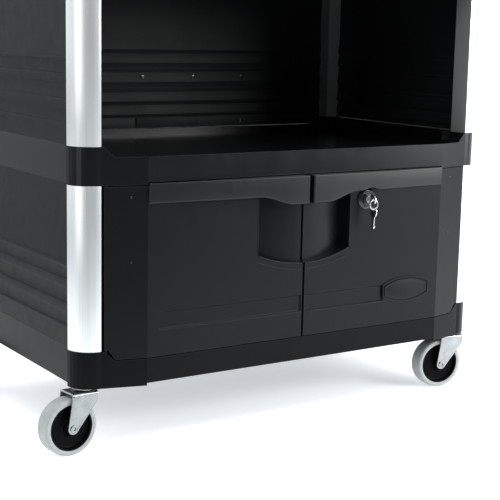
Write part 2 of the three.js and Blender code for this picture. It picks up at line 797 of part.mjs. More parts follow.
function lock() {
  const bowY = -BOW_DEPTH - LOCK_COLLAR_PROUD - 2.5 - KEY_BOW * 0.8 - 3;
  const key = keyBlank(KEY_BLADE_LENGTH).translate(0, bowY, 0);
  const holeY = bowY + KEY_HOLE + 2.5 - KEY_BOW;
  const ringDrop = KEY_RING_RADIUS;
  const spareDrop = 2 * KEY_RING_RADIUS;
  const spare = keyBlank(KEY_BLADE_LENGTH)
    .translate(0, KEY_BOW - KEY_HOLE - 2.5, 0)
    .rotateX(-Math.PI / 2);
  return groupAt(
    LOCK_X,
    0,
    LOCK_Z,
    piece('lock_collar', lockCollar(), blackNickel),
    piece('lock_housing', lockHousing(), chrome),
    piece('lock_nut', lockNut(), zincPlate),
    piece('lock_plug', lockPlug(), chrome),
    piece('lock_cam', lockCam(), zincPlate),
    piece('door_key', key, keyBrass),
    groupAt(0, holeY, -ringDrop, piece('key_ring', keyRing(), chrome)),
    groupAt(0, holeY, -spareDrop, piece('spare_key', spare, keyBrass)),
  );
}

// ---------------------------------------------------------------- casters

/** Fixed upper part: kingpin under the fork crown, race disc and the stem in the tray corner. */
function casterStem() {
  const raceFoot = CROWN_HEIGHT + RUNNING;
  const raceTop = CASTER_HEIGHT - CLEARANCE;
  const crownFoot = CROWN_HEIGHT - FORK_THICKNESS;
  return turned(
    [
      [0, crownFoot - RUNNING - 2],
      [KINGPIN_RADIUS + 3, crownFoot - RUNNING - 2],
      [KINGPIN_RADIUS + 3, crownFoot - RUNNING],
      [KINGPIN_RADIUS, crownFoot - RUNNING],
      [KINGPIN_RADIUS, raceFoot],
      [RACE_RADIUS - RACE_CHAMFER, raceFoot],
      [RACE_RADIUS, raceFoot + RACE_CHAMFER],
      [RACE_RADIUS, raceTop],
      [STEM_RADIUS, raceTop],
      [STEM_RADIUS, CASTER_HEIGHT + STEM_LENGTH],
      [0, CASTER_HEIGHT + STEM_LENGTH],
    ],
    16,
  );
}

/** Outline of a fork leg from the side: square at the crown, round at the axle. */
function legOutline() {
  const nose = FORK_NOSE;
  const end = arc(-CASTER_TRAIL, WHEEL_RADIUS, FORK_END_RADIUS, Math.PI, 1.84 * Math.PI, 10);
  return [[-CASTER_TRAIL, CROWN_HEIGHT], ...end, [nose, CROWN_HEIGHT - 15], [nose, CROWN_HEIGHT]];
}

function fork() {
  const inner = TREAD_WIDTH / 2 + FORK_SIDE_GAP;
  const outer = inner + FORK_THICKNESS;
  const legs = [-outer, inner].map((y) => facingFront(legOutline(), y, y + FORK_THICKNESS));
  const crown = block(-CASTER_TRAIL, FORK_NOSE, -outer, outer, CROWN_HEIGHT - FORK_THICKNESS, CROWN_HEIGHT);
  const nose = rod(outer, CROWN_HEIGHT - FORK_THICKNESS, CROWN_HEIGHT);
  const axle = rodAlongY(AXLE_RADIUS + CLEARANCE, -outer - 1, outer + 1);
  return cut(
    join(crown, nose, ...legs),
    rod(KINGPIN_RADIUS + RUNNING, CROWN_HEIGHT - FORK_THICKNESS - 1, CROWN_HEIGHT + 1),
    axle.translate(-CASTER_TRAIL, 0, WHEEL_RADIUS),
  );
}

function tread() {
  const half = TREAD_WIDTH / 2;
  const inner = HUB_RADIUS + CLEARANCE;
  const profile = [
    [inner, -half],
    [WHEEL_RADIUS - TREAD_SHOULDER, -half],
    [WHEEL_RADIUS, TREAD_SHOULDER - half],
    [WHEEL_RADIUS, half - TREAD_SHOULDER],
    [WHEEL_RADIUS - TREAD_SHOULDER, half],
    [inner, half],
    [inner, -half],
  ];
  return turnedAlongY(profile, 36);
}

function hub() {
  const rim = TREAD_WIDTH / 2 - 0.8;
  const boss = TREAD_WIDTH / 2 + FORK_SIDE_GAP - RUNNING;
  const web = 8;
  const bore = AXLE_RADIUS + RUNNING;
  const side = [
    [bore, boss],
    [HUB_BOSS_RADIUS, boss],
    [HUB_BOSS_RADIUS + 2, web],
    [HUB_RADIUS - 5, web],
    [HUB_RADIUS - 3, rim],
    [HUB_RADIUS, rim],
  ];
  const mirroredSide = side.map(([radius, across]) => [radius, -across]);
  return turnedAlongY([...mirroredSide, ...side.reverse(), mirroredSide[0]], 24);
}

function axleBolt() {
  const half = AXLE_LENGTH / 2;
  return turnedAlongY(
    [
      [0, -half - AXLE_HEAD],
      [AXLE_HEAD_RADIUS, -half - AXLE_HEAD],
      [AXLE_HEAD_RADIUS, -half],
      [AXLE_RADIUS, -half],
      [AXLE_RADIUS, half],
      [AXLE_HEAD_RADIUS, half],
      [AXLE_HEAD_RADIUS, half + AXLE_HEAD],
      [0, half + AXLE_HEAD],
    ],
    12,
  );
}

/** A caster on its swivel axis; `turn` is how far its fork has swung round, in degrees. */
function caster(name, end, side, turn) {
  const [x, y] = casterAxis(end, side);
  const wheel = groupAt(
    -CASTER_TRAIL,
    0,
    WHEEL_RADIUS,
    piece(`${name}_tread`, tread(), treadRubber),
    piece(`${name}_hub`, hub(), hubPlastic),
    piece(`${name}_axle_bolt`, axleBolt(), zincPlate),
  );
  const swivel = groupAt(0, 0, 0, piece(`${name}_fork`, fork(), zincPlate), wheel);
  swivel.rotation.z = THREE.MathUtils.degToRad(turn);
  return groupAt(x, y, 0, piece(`${name}_stem`, casterStem(), zincPlate), swivel);
}

function casters() {
  return [
    caster('front_left_caster', ENDS.left, SIDES.front, 5.5),
    caster('front_right_caster', ENDS.right, SIDES.front, -10),
    caster('back_left_caster', ENDS.left, SIDES.back, 5),
    caster('back_right_caster', ENDS.right, SIDES.back, -6),
  ];
}

// ---------------------------------------------------------------- push handle

const HANDLE_BAR_X = SIDE_X + HANDLE_REACH;
const HANDLE_BAR_Z = TRAY_LEVELS.top + TRAY_HEIGHT + HANDLE_RISE;
const HANDLE_INSET = CORNER_RADIUS + CORNER_MARGIN + CLEARANCE;

/** Arm from the tray end up and out to the bar; its socket opens towards the cart's middle. */
function handleArm(side) {
  const foot = SIDE_X + CLEARANCE;
  const low = TRAY_LEVELS.top + 4;
  const high = TRAY_LEVELS.top + TRAY_HEIGHT - 4;
  const lean = Math.atan2(HANDLE_BAR_Z - (low + high) / 2, HANDLE_BAR_X - foot);
  const outline = [
    [foot, low],
    [foot + 22, low],
    ...arc(HANDLE_BAR_X, HANDLE_BAR_Z, HANDLE_BOSS_RADIUS, lean - Math.PI / 2, lean + Math.PI / 2, 10),
    [foot + 14, high],
    [foot, high],
  ];
  const near = side < 0 ? HANDLE_INSET : BODY_DEPTH - HANDLE_INSET - HANDLE_ARM_WIDTH;
  const arm = facingFront(outline, near, near + HANDLE_ARM_WIDTH);
  const mouth = side < 0 ? near + HANDLE_ARM_WIDTH : near;
  const socket = rodAlongY(HANDLE_BAR_RADIUS + CLEARANCE, mouth - HANDLE_SOCKET, mouth + HANDLE_SOCKET, 28);
  return cut(arm, socket.translate(HANDLE_BAR_X, 0, HANDLE_BAR_Z));
}

function handle() {
  const inset = HANDLE_INSET + HANDLE_ARM_WIDTH - HANDLE_SOCKET + CLEARANCE;
  const bar = rodAlongY(HANDLE_BAR_RADIUS, inset, BODY_DEPTH - inset, 28);
  return [
    piece('handle_front_arm', handleArm(SIDES.front), trayPlastic),
    piece('handle_back_arm', handleArm(SIDES.back), trayPlastic),
    groupAt(HANDLE_BAR_X, 0, HANDLE_BAR_Z, piece('handle_bar', bar, trayPlastic)),
  ];
}

// ---------------------------------------------------------------- assembly

const cart = new THREE.Group();
cart.add(...trays(), ...posts(), ...panels(), ...doors(), ...hingePins(), ...casters(), ...handle());
cart.updateMatrixWorld(true);

const footprint = new THREE.Box3().setFromObject(cart, true);
const middle = footprint.getCenter(new THREE.Vector3());
cart.position.set(-middle.x, -middle.y, -footprint.min.z);

export default cart;
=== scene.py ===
"""Looks of the housekeeping cart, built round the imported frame.

Lengths are in millimetres in cart coordinates until a mesh is written: X from the middle of the
trays, Y from the fronts of the corner posts, Z from the floor.
"""
import sys  # noqa: E702
import json
import logging
from dataclasses import dataclass, field, replace
from enum import Enum
from math import atan2, cos, pi, radians, sin

import bmesh
import bpy
import numpy as np
from mathutils import Matrix, Vector


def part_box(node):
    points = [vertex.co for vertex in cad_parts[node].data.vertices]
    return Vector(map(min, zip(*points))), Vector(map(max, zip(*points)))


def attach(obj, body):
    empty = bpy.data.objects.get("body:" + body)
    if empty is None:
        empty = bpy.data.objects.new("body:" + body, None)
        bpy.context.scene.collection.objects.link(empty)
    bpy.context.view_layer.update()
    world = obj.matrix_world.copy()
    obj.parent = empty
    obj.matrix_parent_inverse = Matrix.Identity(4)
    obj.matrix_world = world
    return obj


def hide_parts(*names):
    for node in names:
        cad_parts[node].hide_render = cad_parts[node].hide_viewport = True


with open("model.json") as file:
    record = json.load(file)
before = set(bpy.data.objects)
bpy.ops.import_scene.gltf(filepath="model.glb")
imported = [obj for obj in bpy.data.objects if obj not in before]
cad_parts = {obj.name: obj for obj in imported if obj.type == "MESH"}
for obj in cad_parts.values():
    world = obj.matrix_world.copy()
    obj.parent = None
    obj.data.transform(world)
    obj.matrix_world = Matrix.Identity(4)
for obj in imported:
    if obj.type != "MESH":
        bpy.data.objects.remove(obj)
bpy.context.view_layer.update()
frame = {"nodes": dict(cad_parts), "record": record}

MM = 0.001
MERGE = 0.02
POLE = 0.01  # corner radius where an outline meets its axis
log = logging.getLogger("cart")

Array = np.ndarray
Colour = tuple[float, float, float]


class Facing(Enum):
    """Which world axes carry the outline's two directions and the depth of a shape."""

    UP = (0, 1, 2)
    FRONT = (0, 2, 1)
    SIDE = (1, 2, 0)

    def place(self, grid: Array) -> Array:
        """Carries (u, v, depth) points to (x, y, z).

        Args:
            grid: (..., 3) points.

        Returns:
            As many (x, y, z) points.
        """
        placed = np.empty_like(grid)
        placed[..., list(self.value)] = grid
        return placed


class End(Enum):
    """The two ends of the cart."""

    LEFT = -1
    RIGHT = 1


class Side(Enum):
    """The door side and the back of the cart."""

    FRONT = -1
    BACK = 1


# ------------------------------------------------------------------ shapes as arrays


def smooth_step(low: float, high: float, value: Array) -> Array:
    """Rises from 0 at low to 1 at high as 3t^2 - 2t^3."""
    t = np.clip((value - low) / (high - low), 0, 1)
    return t * t * (3 - 2 * t)


def unit(vectors: Array) -> Array:
    """Each vector divided by its length."""
    return vectors / np.maximum(np.linalg.norm(vectors, axis=-1, keepdims=True), 1e-9)


def rounded(corners: Array, radii: Array | float, steps: int = 4) -> Array:
    """Closed outline with an arc at each corner.

    The arc of radius r touches both sides at r / tan(half the corner's angle) from the corner; its
    points turn from the first touching point to the second about the arc's centre.

    Args:
        corners: (n, 2) corner points in order.
        radii: one radius for each corner, or one for all.
        steps: pieces in each arc.

    Returns:
        (n * (steps + 1), 2) points.
    """
    corner = np.asarray(corners, float)
    radius = np.broadcast_to(np.asarray(radii, float), len(corner))[:, None]
    before, after = unit(np.roll(corner, 1, 0) - corner), unit(np.roll(corner, -1, 0) - corner)
    half = np.arccos(np.clip((before * after).sum(1, keepdims=True), -1, 0.999999)) / 2
    half = np.minimum(half, pi / 2 - 1e-4)
    centre = corner + unit(before + after) * radius / np.sin(half)
    start = corner + before * radius / np.tan(half) - centre
    finish = corner + after * radius / np.tan(half) - centre
    turn = (pi - 2 * half)[:, None]
    t = np.linspace(0, 1, steps + 1)[None, :, None]
    along = np.sin((1 - t) * turn) * start[:, None] + np.sin(t * turn) * finish[:, None]
    return (centre[:, None] + along / np.sin(turn)).reshape(-1, 2)


def circle(radius: float, steps: int, centre: tuple[float, float] = (0, 0)) -> Array:
    """Points on a circle, evenly turned from angle 0."""
    angle = np.linspace(0, 2 * pi, steps, endpoint=False)
    return np.stack([np.cos(angle), np.sin(angle)], -1) * radius + centre


def outward(outline: Array) -> Array:
    """Unit normal at each outline point: across the line joining its two neighbours, outwards.

    Args:
        outline: (n, 2) closed outline.

    Returns:
        (n, 2) normals.
    """
    along = np.roll(outline, -1, 0) - np.roll(outline, 1, 0)
    after = np.roll(outline, -1, 0)
    area = (outline[:, 0] * after[:, 1] - outline[:, 1] * after[:, 0]).sum()
    return unit(np.stack([along[:, 1], -along[:, 0]], -1)) * np.sign(area)


@dataclass
class Shell:
    """Points in cart coordinates, and faces as lists of point numbers."""

    points: Array
    faces: list[list[int]] = field(default_factory=list)

    @classmethod
    def woven(cls, grid: Array, rows_close: bool, columns_close: bool, capped: bool) -> "Shell":
        """Quads between neighbouring points of a grid.

        Args:
            grid: (rows, columns, 3) points.
            rows_close: the last row joins the first.
            columns_close: the last column joins the first.
            capped: the first and the last row are each closed with one face.

        Returns:
            The shell.
        """
        rows, columns = grid.shape[:2]
        row, column = np.meshgrid(
            np.arange(rows if rows_close else rows - 1),
            np.arange(columns if columns_close else columns - 1),
            indexing="ij",
        )
        next_row, next_column = (row + 1) % rows, (column + 1) % columns
        quads = np.stack(
            [
                row * columns + column,
                row * columns + next_column,
                next_row * columns + next_column,
                next_row * columns + column,
            ],
            -1,
        )
        faces = quads.reshape(-1, 4).tolist()
        if capped:
            ring = np.arange(columns)
            faces += [ring[::-1].tolist(), (ring + (rows - 1) * columns).tolist()]
        return cls(grid.reshape(-1, 3), faces)

    def __add__(self, other: "Shell") -> "Shell":
        """Both shells as one.

        Args:
            other: the shell to add.

        Returns:
            The joined shell.
        """
        count = len(self.points)
        moved = [[i + count for i in face] for face in other.faces]
        return Shell(np.vstack([self.points, other.points]), self.faces + moved)

    def moved(self, by: Array | tuple[float, float, float]) -> "Shell":
        """The shell moved by a vector."""
        return Shell(self.points + np.asarray(by, float), self.faces)

    def turned_about(self, centre: Array, angle: float, axis: str = "Z") -> "Shell":
        """The shell turned about a world axis through a point, by an angle in radians."""
        turn = np.array(Matrix.Rotation(angle, 3, axis))
        return Shell((self.points - centre) @ turn.T + centre, self.faces)


def slab(
    outline: Array, low: float, high: float, edge: float, facing: Facing, steps: int = 3
) -> Shell:
    """Plate of a closed outline whose rims are quarter rounds.

    At angle a of the rim the outline moves in by edge (1 - sin a), at edge (1 - cos a) from the
    plate's face.

    Args:
        outline: (n, 2) points.
        low: depth where the plate starts.
        high: depth where it ends.
        edge: radius of the rims.
        facing: where the outline and the depth lie.
        steps: pieces in each rim.

    Returns:
        The closed shell.
    """
    angle = np.linspace(0, pi / 2, steps + 1)
    inset, lift = edge * (1 - np.sin(angle)), edge * (1 - np.cos(angle))
    insets = np.concatenate([inset, inset[::-1]])[:, None, None]
    depths = np.concatenate([low + lift, (high - lift)[::-1]])
    rings = outline[None] - insets * outward(outline)[None]
    depth = np.broadcast_to(depths[:, None, None], (len(depths), len(outline), 1))
    grid = np.concatenate([rings, depth], -1)
    return Shell.woven(facing.place(grid), False, True, True)


def washer(outer: Array, inner: Array, low: float, high: float, edge: float, facing: Facing) -> Shell:
    """Flat ring between two outlines of as many points, with softened rims.

    Its section has eight corners: both outlines at both depths, each rim cut back by edge.

    Args:
        outer: (n, 2) outline.
        inner: (n, 2) outline, in step with the outer one.
        low: depth where the ring starts.
        high: depth where it ends.
        edge: how far each rim is cut back.
        facing: where the outlines and the depth lie.

    Returns:
        The closed shell.
    """
    out, back = outward(outer) * edge, outward(inner) * edge
    lines = [outer - out, outer, outer, outer - out, inner + back, inner, inner, inner + back]
    depths = [low, low + edge, high - edge, high, high, high - edge, low + edge, low]
    grid = np.stack([np.column_stack([a, np.full(len(a), d)]) for a, d in zip(lines, depths)], 1)
    return Shell.woven(facing.place(grid), True, True, False)


def turned(profile: Array, centre: Array, facing: Facing, segments: int = 64) -> Shell:
    """Solid of revolution: the closed (radius, along) profile turned about the depth axis.

    Args:
        profile: (n, 2) closed outline; its points on the axis become poles.
        centre: where the axis has along = 0.
        facing: its depth is the axis.
        segments: steps round the axis.

    Returns:
        The closed shell.
    """
    angle = np.linspace(0, 2 * pi, segments, endpoint=False)[:, None]
    radius, along = np.maximum(profile[:, 0], 0), profile[:, 1]
    depth = np.broadcast_to(along, (segments, len(along)))
    flat = np.stack([radius * np.cos(angle), radius * np.sin(angle), depth], -1)
    return Shell.woven(facing.place(flat), True, True, False).moved(centre)


def bead(path: Array, radius: float, depth: float) -> Shell:
    """Round moulded bead that follows a path on the front of the doors.

    Each ring is a circle in the plane of the path's normal and the depth axis; the first and the
    last ring are small, so the bead's ends are blunt points.

    Args:
        path: (n, 2) points as (x, z).
        radius: of the bead.
        depth: y of its axis.

    Returns:
        The closed shell.
    """
    along = unit(np.gradient(path, axis=0))
    normal = np.stack([-along[:, 1], along[:, 0]], -1)
    angle = np.linspace(0, 2 * pi, 12, endpoint=False)
    size = np.full(len(path), radius)
    size[[0, -1]] *= 0.4
    reach = size[:, None] * np.cos(angle)
    flat = path[:, None] + reach[..., None] * normal[:, None]
    y = depth + size[:, None] * np.sin(angle)
    return Shell.woven(np.stack([flat[..., 0], y, flat[..., 1]], -1), False, True, True)


def button(radius: float, rim: float, crown: float, centre: Array, steps: int, segments: int) -> Shell:
    """Low round button with a soft rim that stands out to the front.

    Args:
        radius: of the button.
        rim: its height at the rim.
        crown: its height in the middle.
        centre: middle of its flat back.
        steps: pieces in the rim's arc.
        segments: steps round the button.

    Returns:
        The closed shell.
    """
    corners = np.array([[0, 0], [radius, 0], [radius, rim], [0, crown]])
    profile = rounded(corners, [POLE, 0.1, 0.3, POLE], steps)
    return turned(profile * [1, -1], centre, Facing.FRONT, segments)


def hoop(radius: float, wire: float, centre: Array, facing: Facing) -> Shell:
    """Round wire bent to a circle: a small circle carried round a large one."""
    return turned(circle(wire, 12, (radius, 0)), centre, facing, 56)


# ------------------------------------------------------------------ finishes


class Recipe:
    """A material's node tree, written as short steps."""

    def __init__(self, name: str) -> None:
        """Starts a material whose pattern sits on Object coordinates.

        Args:
            name: the material's name.
        """
        self.material = bpy.data.materials.new(name)
        self.material.use_nodes = True
        self.tree = self.material.node_tree
        self.shader = self.tree.nodes["Principled BSDF"]
        self.place = self.tree.nodes.new("ShaderNodeTexCoord").outputs["Object"]

    def set(self, **values: float | Colour) -> None:
        """Sets constant values on the shader's own sockets.

        Args:
            **values: socket names, with _ for a space, and their values.
        """
        for key, value in values.items():
            socket = self.shader.inputs[key.replace("_", " ")]
            socket.default_value = (*value, 1) if isinstance(value, tuple) else value

    def link(self, source: bpy.types.NodeSocket, socket: str) -> None:
        """Feeds one of the shader's sockets."""
        self.tree.links.new(source, self.shader.inputs[socket])

    def stretched(self, scale: Colour) -> bpy.types.NodeSocket:
        """The place with each axis scaled.

        Args:
            scale: factor along X, Y and Z.

        Returns:
            The scaled place.
        """
        node = self.tree.nodes.new("ShaderNodeMapping")
        node.inputs["Scale"].default_value = scale
        self.tree.links.new(self.place, node.inputs["Vector"])
        return node.outputs["Vector"]

    def noise(
        self, scale: float, detail: float = 3, place: bpy.types.NodeSocket | None = None
    ) -> bpy.types.NodeSocket:
        """Cloudy noise, with about scale waves in a metre.

        Args:
            scale: waves in a metre.
            detail: how many finer layers are added.
            place: where it is read; Object coordinates if None.

        Returns:
            The noise, about 0.3 to 0.7.
        """
        node = self.tree.nodes.new("ShaderNodeTexNoise")
        node.inputs["Scale"].default_value = scale
        node.inputs["Detail"].default_value = detail
        self.tree.links.new(place or self.place, node.inputs["Vector"])
        return node.outputs["Fac"]

    def spread(
        self,
        source: bpy.types.NodeSocket,
        low: float,
        high: float,
        start: float = 0.3,
        end: float = 0.7,
    ) -> bpy.types.NodeSocket:
        """Carries start..end of the source to low..high.

        Args:
            source: the value to spread.
            low: result at start.
            high: result at end.
            start: source value that gives low.
            end: source value that gives high.

        Returns:
            The spread value.
        """
        node = self.tree.nodes.new("ShaderNodeMapRange")
        for key, value in zip(("From Min", "From Max", "To Min", "To Max"), (start, end, low, high)):
            node.inputs[key].default_value = value
        self.tree.links.new(source, node.inputs["Value"])
        return node.outputs["Result"]

    def blend(
        self,
        share: bpy.types.NodeSocket,
        first: Colour | bpy.types.NodeSocket,
        second: Colour | bpy.types.NodeSocket,
    ) -> bpy.types.NodeSocket:
        """Mixes two colours by a share.

        Args:
            share: 0 gives the first, 1 the second.
            first: colour or socket.
            second: colour or socket.

        Returns:
            The mixed colour.
        """
        node = self.tree.nodes.new("ShaderNodeMix")
        node.data_type = "RGBA"
        self.tree.links.new(share, node.inputs["Factor"])
        for socket, colour in ((node.inputs[6], first), (node.inputs[7], second)):
            if isinstance(colour, bpy.types.NodeSocket):
                self.tree.links.new(colour, socket)
            else:
                socket.default_value = (*colour, 1)
        return node.outputs[2]

    def sum(
        self, first: bpy.types.NodeSocket, second: bpy.types.NodeSocket, share: float
    ) -> bpy.types.NodeSocket:
        """The first value plus a share of the second.

        Args:
            first: a value.
            second: a value.
            share: what the second is multiplied by.

        Returns:
            The sum.
        """
        node = self.tree.nodes.new("ShaderNodeMath")
        node.operation = "MULTIPLY_ADD"
        self.tree.links.new(second, node.inputs[0])
        node.inputs[1].default_value = share
        self.tree.links.new(first, node.inputs[2])
        return node.outputs[0]

    def rim(self, reach: float) -> bpy.types.NodeSocket:
        """1 on sharp edges and 0 away from them: how far the bevelled normal leaves the true one.

        Args:
            reach: how far the edge is felt, in millimetres.

        Returns:
            The share.
        """
        bevel = self.tree.nodes.new("ShaderNodeBevel")
        bevel.inputs["Radius"].default_value = reach * MM
        geometry = self.tree.nodes.new("ShaderNodeNewGeometry")
        dot = self.tree.nodes.new("ShaderNodeVectorMath")
        dot.operation = "DOT_PRODUCT"
        self.tree.links.new(bevel.outputs[0], dot.inputs[0])
        self.tree.links.new(geometry.outputs["Normal"], dot.inputs[1])
        return self.spread(dot.outputs["Value"], 1, 0, 0.86, 0.995)

    def bump(self, height: bpy.types.NodeSocket, depth: float, strength: float = 1) -> None:
        """Raises the surface by height times depth, in millimetres.

        Args:
            height: the pattern.
            depth: its height in millimetres.
            strength: how much of it the light shows.
        """
        node = self.tree.nodes.new("ShaderNodeBump")
        node.inputs["Strength"].default_value = strength
        node.inputs["Distance"].default_value = depth * MM
        self.tree.links.new(height, node.inputs["Height"])
        self.link(node.outputs["Normal"], "Normal")


@dataclass(frozen=True)
class MouldedPlastic:
    """Injection-moulded plastic with a fine grain, soft clouds of tone and rubbed edges."""

    slot: str
    colour: Colour
    cloud: Colour
    rubbed: Colour
    satin: tuple[float, float] = (0.36, 0.46)
    specular: float = 0.35
    grain: float = 1.1
    depth: float = 0.03
    variant: str = ""

    def material(self) -> bpy.types.Material:
        """Builds the node material.

        Returns:
            The material.
        """
        recipe = Recipe(self.slot + self.variant)
        cloud = recipe.spread(recipe.noise(7, 4), 0, 1)
        body = recipe.blend(cloud, self.colour, self.cloud)
        edge = recipe.rim(1.2)
        recipe.link(recipe.blend(recipe.spread(edge, 0, 0.55, 0, 1), body, self.rubbed), "Base Color")
        gloss = recipe.spread(recipe.noise(45, 5), *self.satin)
        recipe.link(recipe.sum(gloss, edge, -0.08), "Roughness")
        fine = recipe.noise(1000 / self.grain, 2)
        recipe.bump(recipe.sum(fine, recipe.noise(160, 3), 0.3), self.depth, 0.5)
        recipe.set(Specular_IOR_Level=self.specular)
        return recipe.material


@dataclass(frozen=True)
class ExtrudedAluminium:
    """Satin anodised extrusion with die lines along its height."""

    slot: str
    colour: Colour
    shade: Colour
    satin: tuple[float, float] = (0.3, 0.4)
    metal: float = 0.76

    def material(self) -> bpy.types.Material:
        """Builds the node material.

        Returns:
            The material.
        """
        recipe = Recipe(self.slot)
        lines = recipe.noise(1, 3, recipe.stretched((1400, 1400, 3)))
        tone = recipe.spread(recipe.sum(lines, recipe.noise(9, 3), 0.6), 0, 1, 0.55, 1.05)
        recipe.link(recipe.blend(tone, self.shade, self.colour), "Base Color")
        recipe.link(recipe.spread(lines, *self.satin), "Roughness")
        recipe.bump(lines, 0.02, 0.35)
        recipe.set(Metallic=self.metal, Anisotropic=0.25)
        return recipe.material


@dataclass(frozen=True)
class PlatedMetal:
    """Plated steel or brass: faint clouds, fine scratches, and edges worn brighter."""

    slot: str
    colour: Colour
    shade: Colour
    worn: Colour
    satin: tuple[float, float] = (0.14, 0.26)
    scratch: float = 0.03

    def material(self) -> bpy.types.Material:
        """Builds the node material.

        Returns:
            The material.
        """
        recipe = Recipe(self.slot)
        body = recipe.blend(recipe.spread(recipe.noise(60, 4), 0, 1), self.shade, self.colour)
        edge = recipe.rim(0.6)
        recipe.link(recipe.blend(edge, body, self.worn), "Base Color")
        marks = recipe.noise(1, 4, recipe.stretched((2200, 300, 900)))
        patchy = recipe.sum(marks, recipe.noise(35, 3), 0.5)
        recipe.link(recipe.spread(patchy, *self.satin, 0.5, 1), "Roughness")
        recipe.bump(marks, self.scratch, 0.4)
        recipe.set(Metallic=1.0)
        return recipe.material


@dataclass(frozen=True)
class WheelRubber:
    """Grey non-marking rubber: matt and slightly mottled, with dust mixed in at random."""

    slot: str
    colour: Colour
    dust: Colour

    def material(self) -> bpy.types.Material:
        """Builds the node material.

        Returns:
            The material.
        """
        recipe = Recipe(self.slot)
        mottle = recipe.spread(recipe.noise(120, 5), 0, 1)
        recipe.link(recipe.blend(mottle, self.colour, self.dust), "Base Color")
        recipe.link(recipe.spread(recipe.noise(60, 3), 0.42, 0.6), "Roughness")
        recipe.bump(recipe.sum(recipe.noise(700, 2), mottle, 0.4), 0.06, 0.5)
        recipe.set(Specular_IOR_Level=0.45)
        return recipe.material


@dataclass(frozen=True)
class StudioFloor:
    """Pale seamless paper with painted light: a painted glow near the cart fills the shadows under it, and
    painted shade turns the paper grey further away.

    Each ramp of painted shade is a direction on the floor, where it starts and ends along it in metres, and
    its share.
    """

    slot: str = "studio_floor"
    # painted glow: colour of the light that the paper gives off near the cart
    painted_glow_colour: Colour = (0.93, 0.96, 1.0)
    fibre: float = 900
    mottle: float = 0.985
    near: Colour = (0.86, 0.88, 0.9)
    # painted shade: the paper's colour far from the cart, grey so that the floor there looks dimly lit
    far: Colour = (0.33, 0.34, 0.35)
    # strength of the painted glow that the paper gives off near the cart
    glow: float = 0.52
    # ramps of painted shade across the floor, which also dim the painted glow
    painted_shade_ramps: tuple[tuple[Colour, float, float, float], ...] = (
        ((-0.549, -0.836, 0), 0.55, 1.15, 1.0),
        ((-0.928, 0.373, 0), 0.5, 1.9, 0.8),
    )

    def material(self) -> bpy.types.Material:
        """Builds the node material; the painted shade is the larger of two ramps across the floor, and the
        painted glow fades out where it rises.

        Returns:
            The material.
        """
        recipe = Recipe(self.slot)
        nodes, links = recipe.tree.nodes, recipe.tree.links
        # painted shade: how far each point lies out along the ramps
        painted_shade = nodes.new("ShaderNodeMath")
        painted_shade.operation = "MAXIMUM"
        for socket, (way, start, end, most) in zip(painted_shade.inputs, self.painted_shade_ramps):
            dot = nodes.new("ShaderNodeVectorMath")
            dot.operation = "DOT_PRODUCT"
            links.new(recipe.place, dot.inputs[0])
            dot.inputs[1].default_value = way
            links.new(recipe.spread(dot.outputs["Value"], 0, most, start, end), socket)
        dull = tuple(self.mottle * part for part in self.near)
        paper = recipe.blend(recipe.noise(self.fibre, 2), self.near, dull)
        # painted shade: the paper's colour turns grey along the ramps
        recipe.link(recipe.blend(painted_shade.outputs[0], paper, self.far), "Base Color")
        # painted glow: the paper gives off light near the cart, fading along the same ramps
        recipe.link(recipe.blend(painted_shade.outputs[0], self.painted_glow_colour, (0.0, 0.0, 0.0)), "Emission Color")
        recipe.set(Roughness=0.9, Specular_IOR_Level=0.1, Emission_Strength=self.glow)
        return recipe.material


TRAY = MouldedPlastic(
    slot="tray_plastic",
    colour=(0.0035, 0.004, 0.0045),
    cloud=(0.0045, 0.005, 0.0055),
    rubbed=(0.04, 0.044, 0.046),
    satin=(0.2, 0.26),
    specular=0.22,
)
LOW_TRAY = replace(TRAY, specular=0.07, variant="_low")
TOP_TRAY = replace(TRAY, satin=(0.52, 0.62), specular=0.16, variant="_top")
PANEL = MouldedPlastic(
    slot="panel_plastic",
    colour=(0.011, 0.0125, 0.0135),
    cloud=(0.013, 0.0145, 0.0155),
    rubbed=(0.06, 0.066, 0.07),
    satin=(0.46, 0.54),
    specular=0.09,
)
DOOR = MouldedPlastic(
    slot="door_plastic",
    colour=(0.0042, 0.005, 0.0054),
    cloud=(0.0052, 0.006, 0.0064),
    rubbed=(0.06, 0.067, 0.07),
    satin=(0.3, 0.36),
    specular=0.13,
)
RAIL = replace(DOOR, specular=0.28, variant="_rail")
BADGE = MouldedPlastic(
    slot="badge_plastic",
    colour=(0.0055, 0.0062, 0.0066),
    cloud=(0.0072, 0.008, 0.0084),
    rubbed=(0.07, 0.077, 0.08),
    satin=(0.36, 0.44),
    specular=0.12,
)
HUB = MouldedPlastic(
    slot="hub_plastic",
    colour=(0.0016, 0.0016, 0.0018),
    cloud=(0.0022, 0.0022, 0.0024),
    rubbed=(0.02, 0.02, 0.021),
    satin=(0.34, 0.42),
    specular=0.05,
)
BLACK_NICKEL = MouldedPlastic(
    slot="black_nickel",
    colour=(0.003, 0.003, 0.0035),
    cloud=(0.005, 0.005, 0.0055),
    rubbed=(0.1, 0.1, 0.1),
    satin=(0.12, 0.2),
    specular=0.6,
    grain=0.6,
    depth=0.01,
)
ALUMINIUM = ExtrudedAluminium("satin_aluminium", (0.8, 0.815, 0.81), (0.7, 0.725, 0.72))
ZINC = PlatedMetal(
    slot="zinc_plate",
    colour=(0.36, 0.375, 0.375),
    shade=(0.27, 0.285, 0.285),
    worn=(0.6, 0.61, 0.61),
    satin=(0.2, 0.32),
)
CHROME = PlatedMetal(
    slot="chrome",
    colour=(0.86, 0.87, 0.88),
    shade=(0.78, 0.79, 0.8),
    worn=(0.95, 0.95, 0.95),
    satin=(0.05, 0.11),
    scratch=0.008,
)
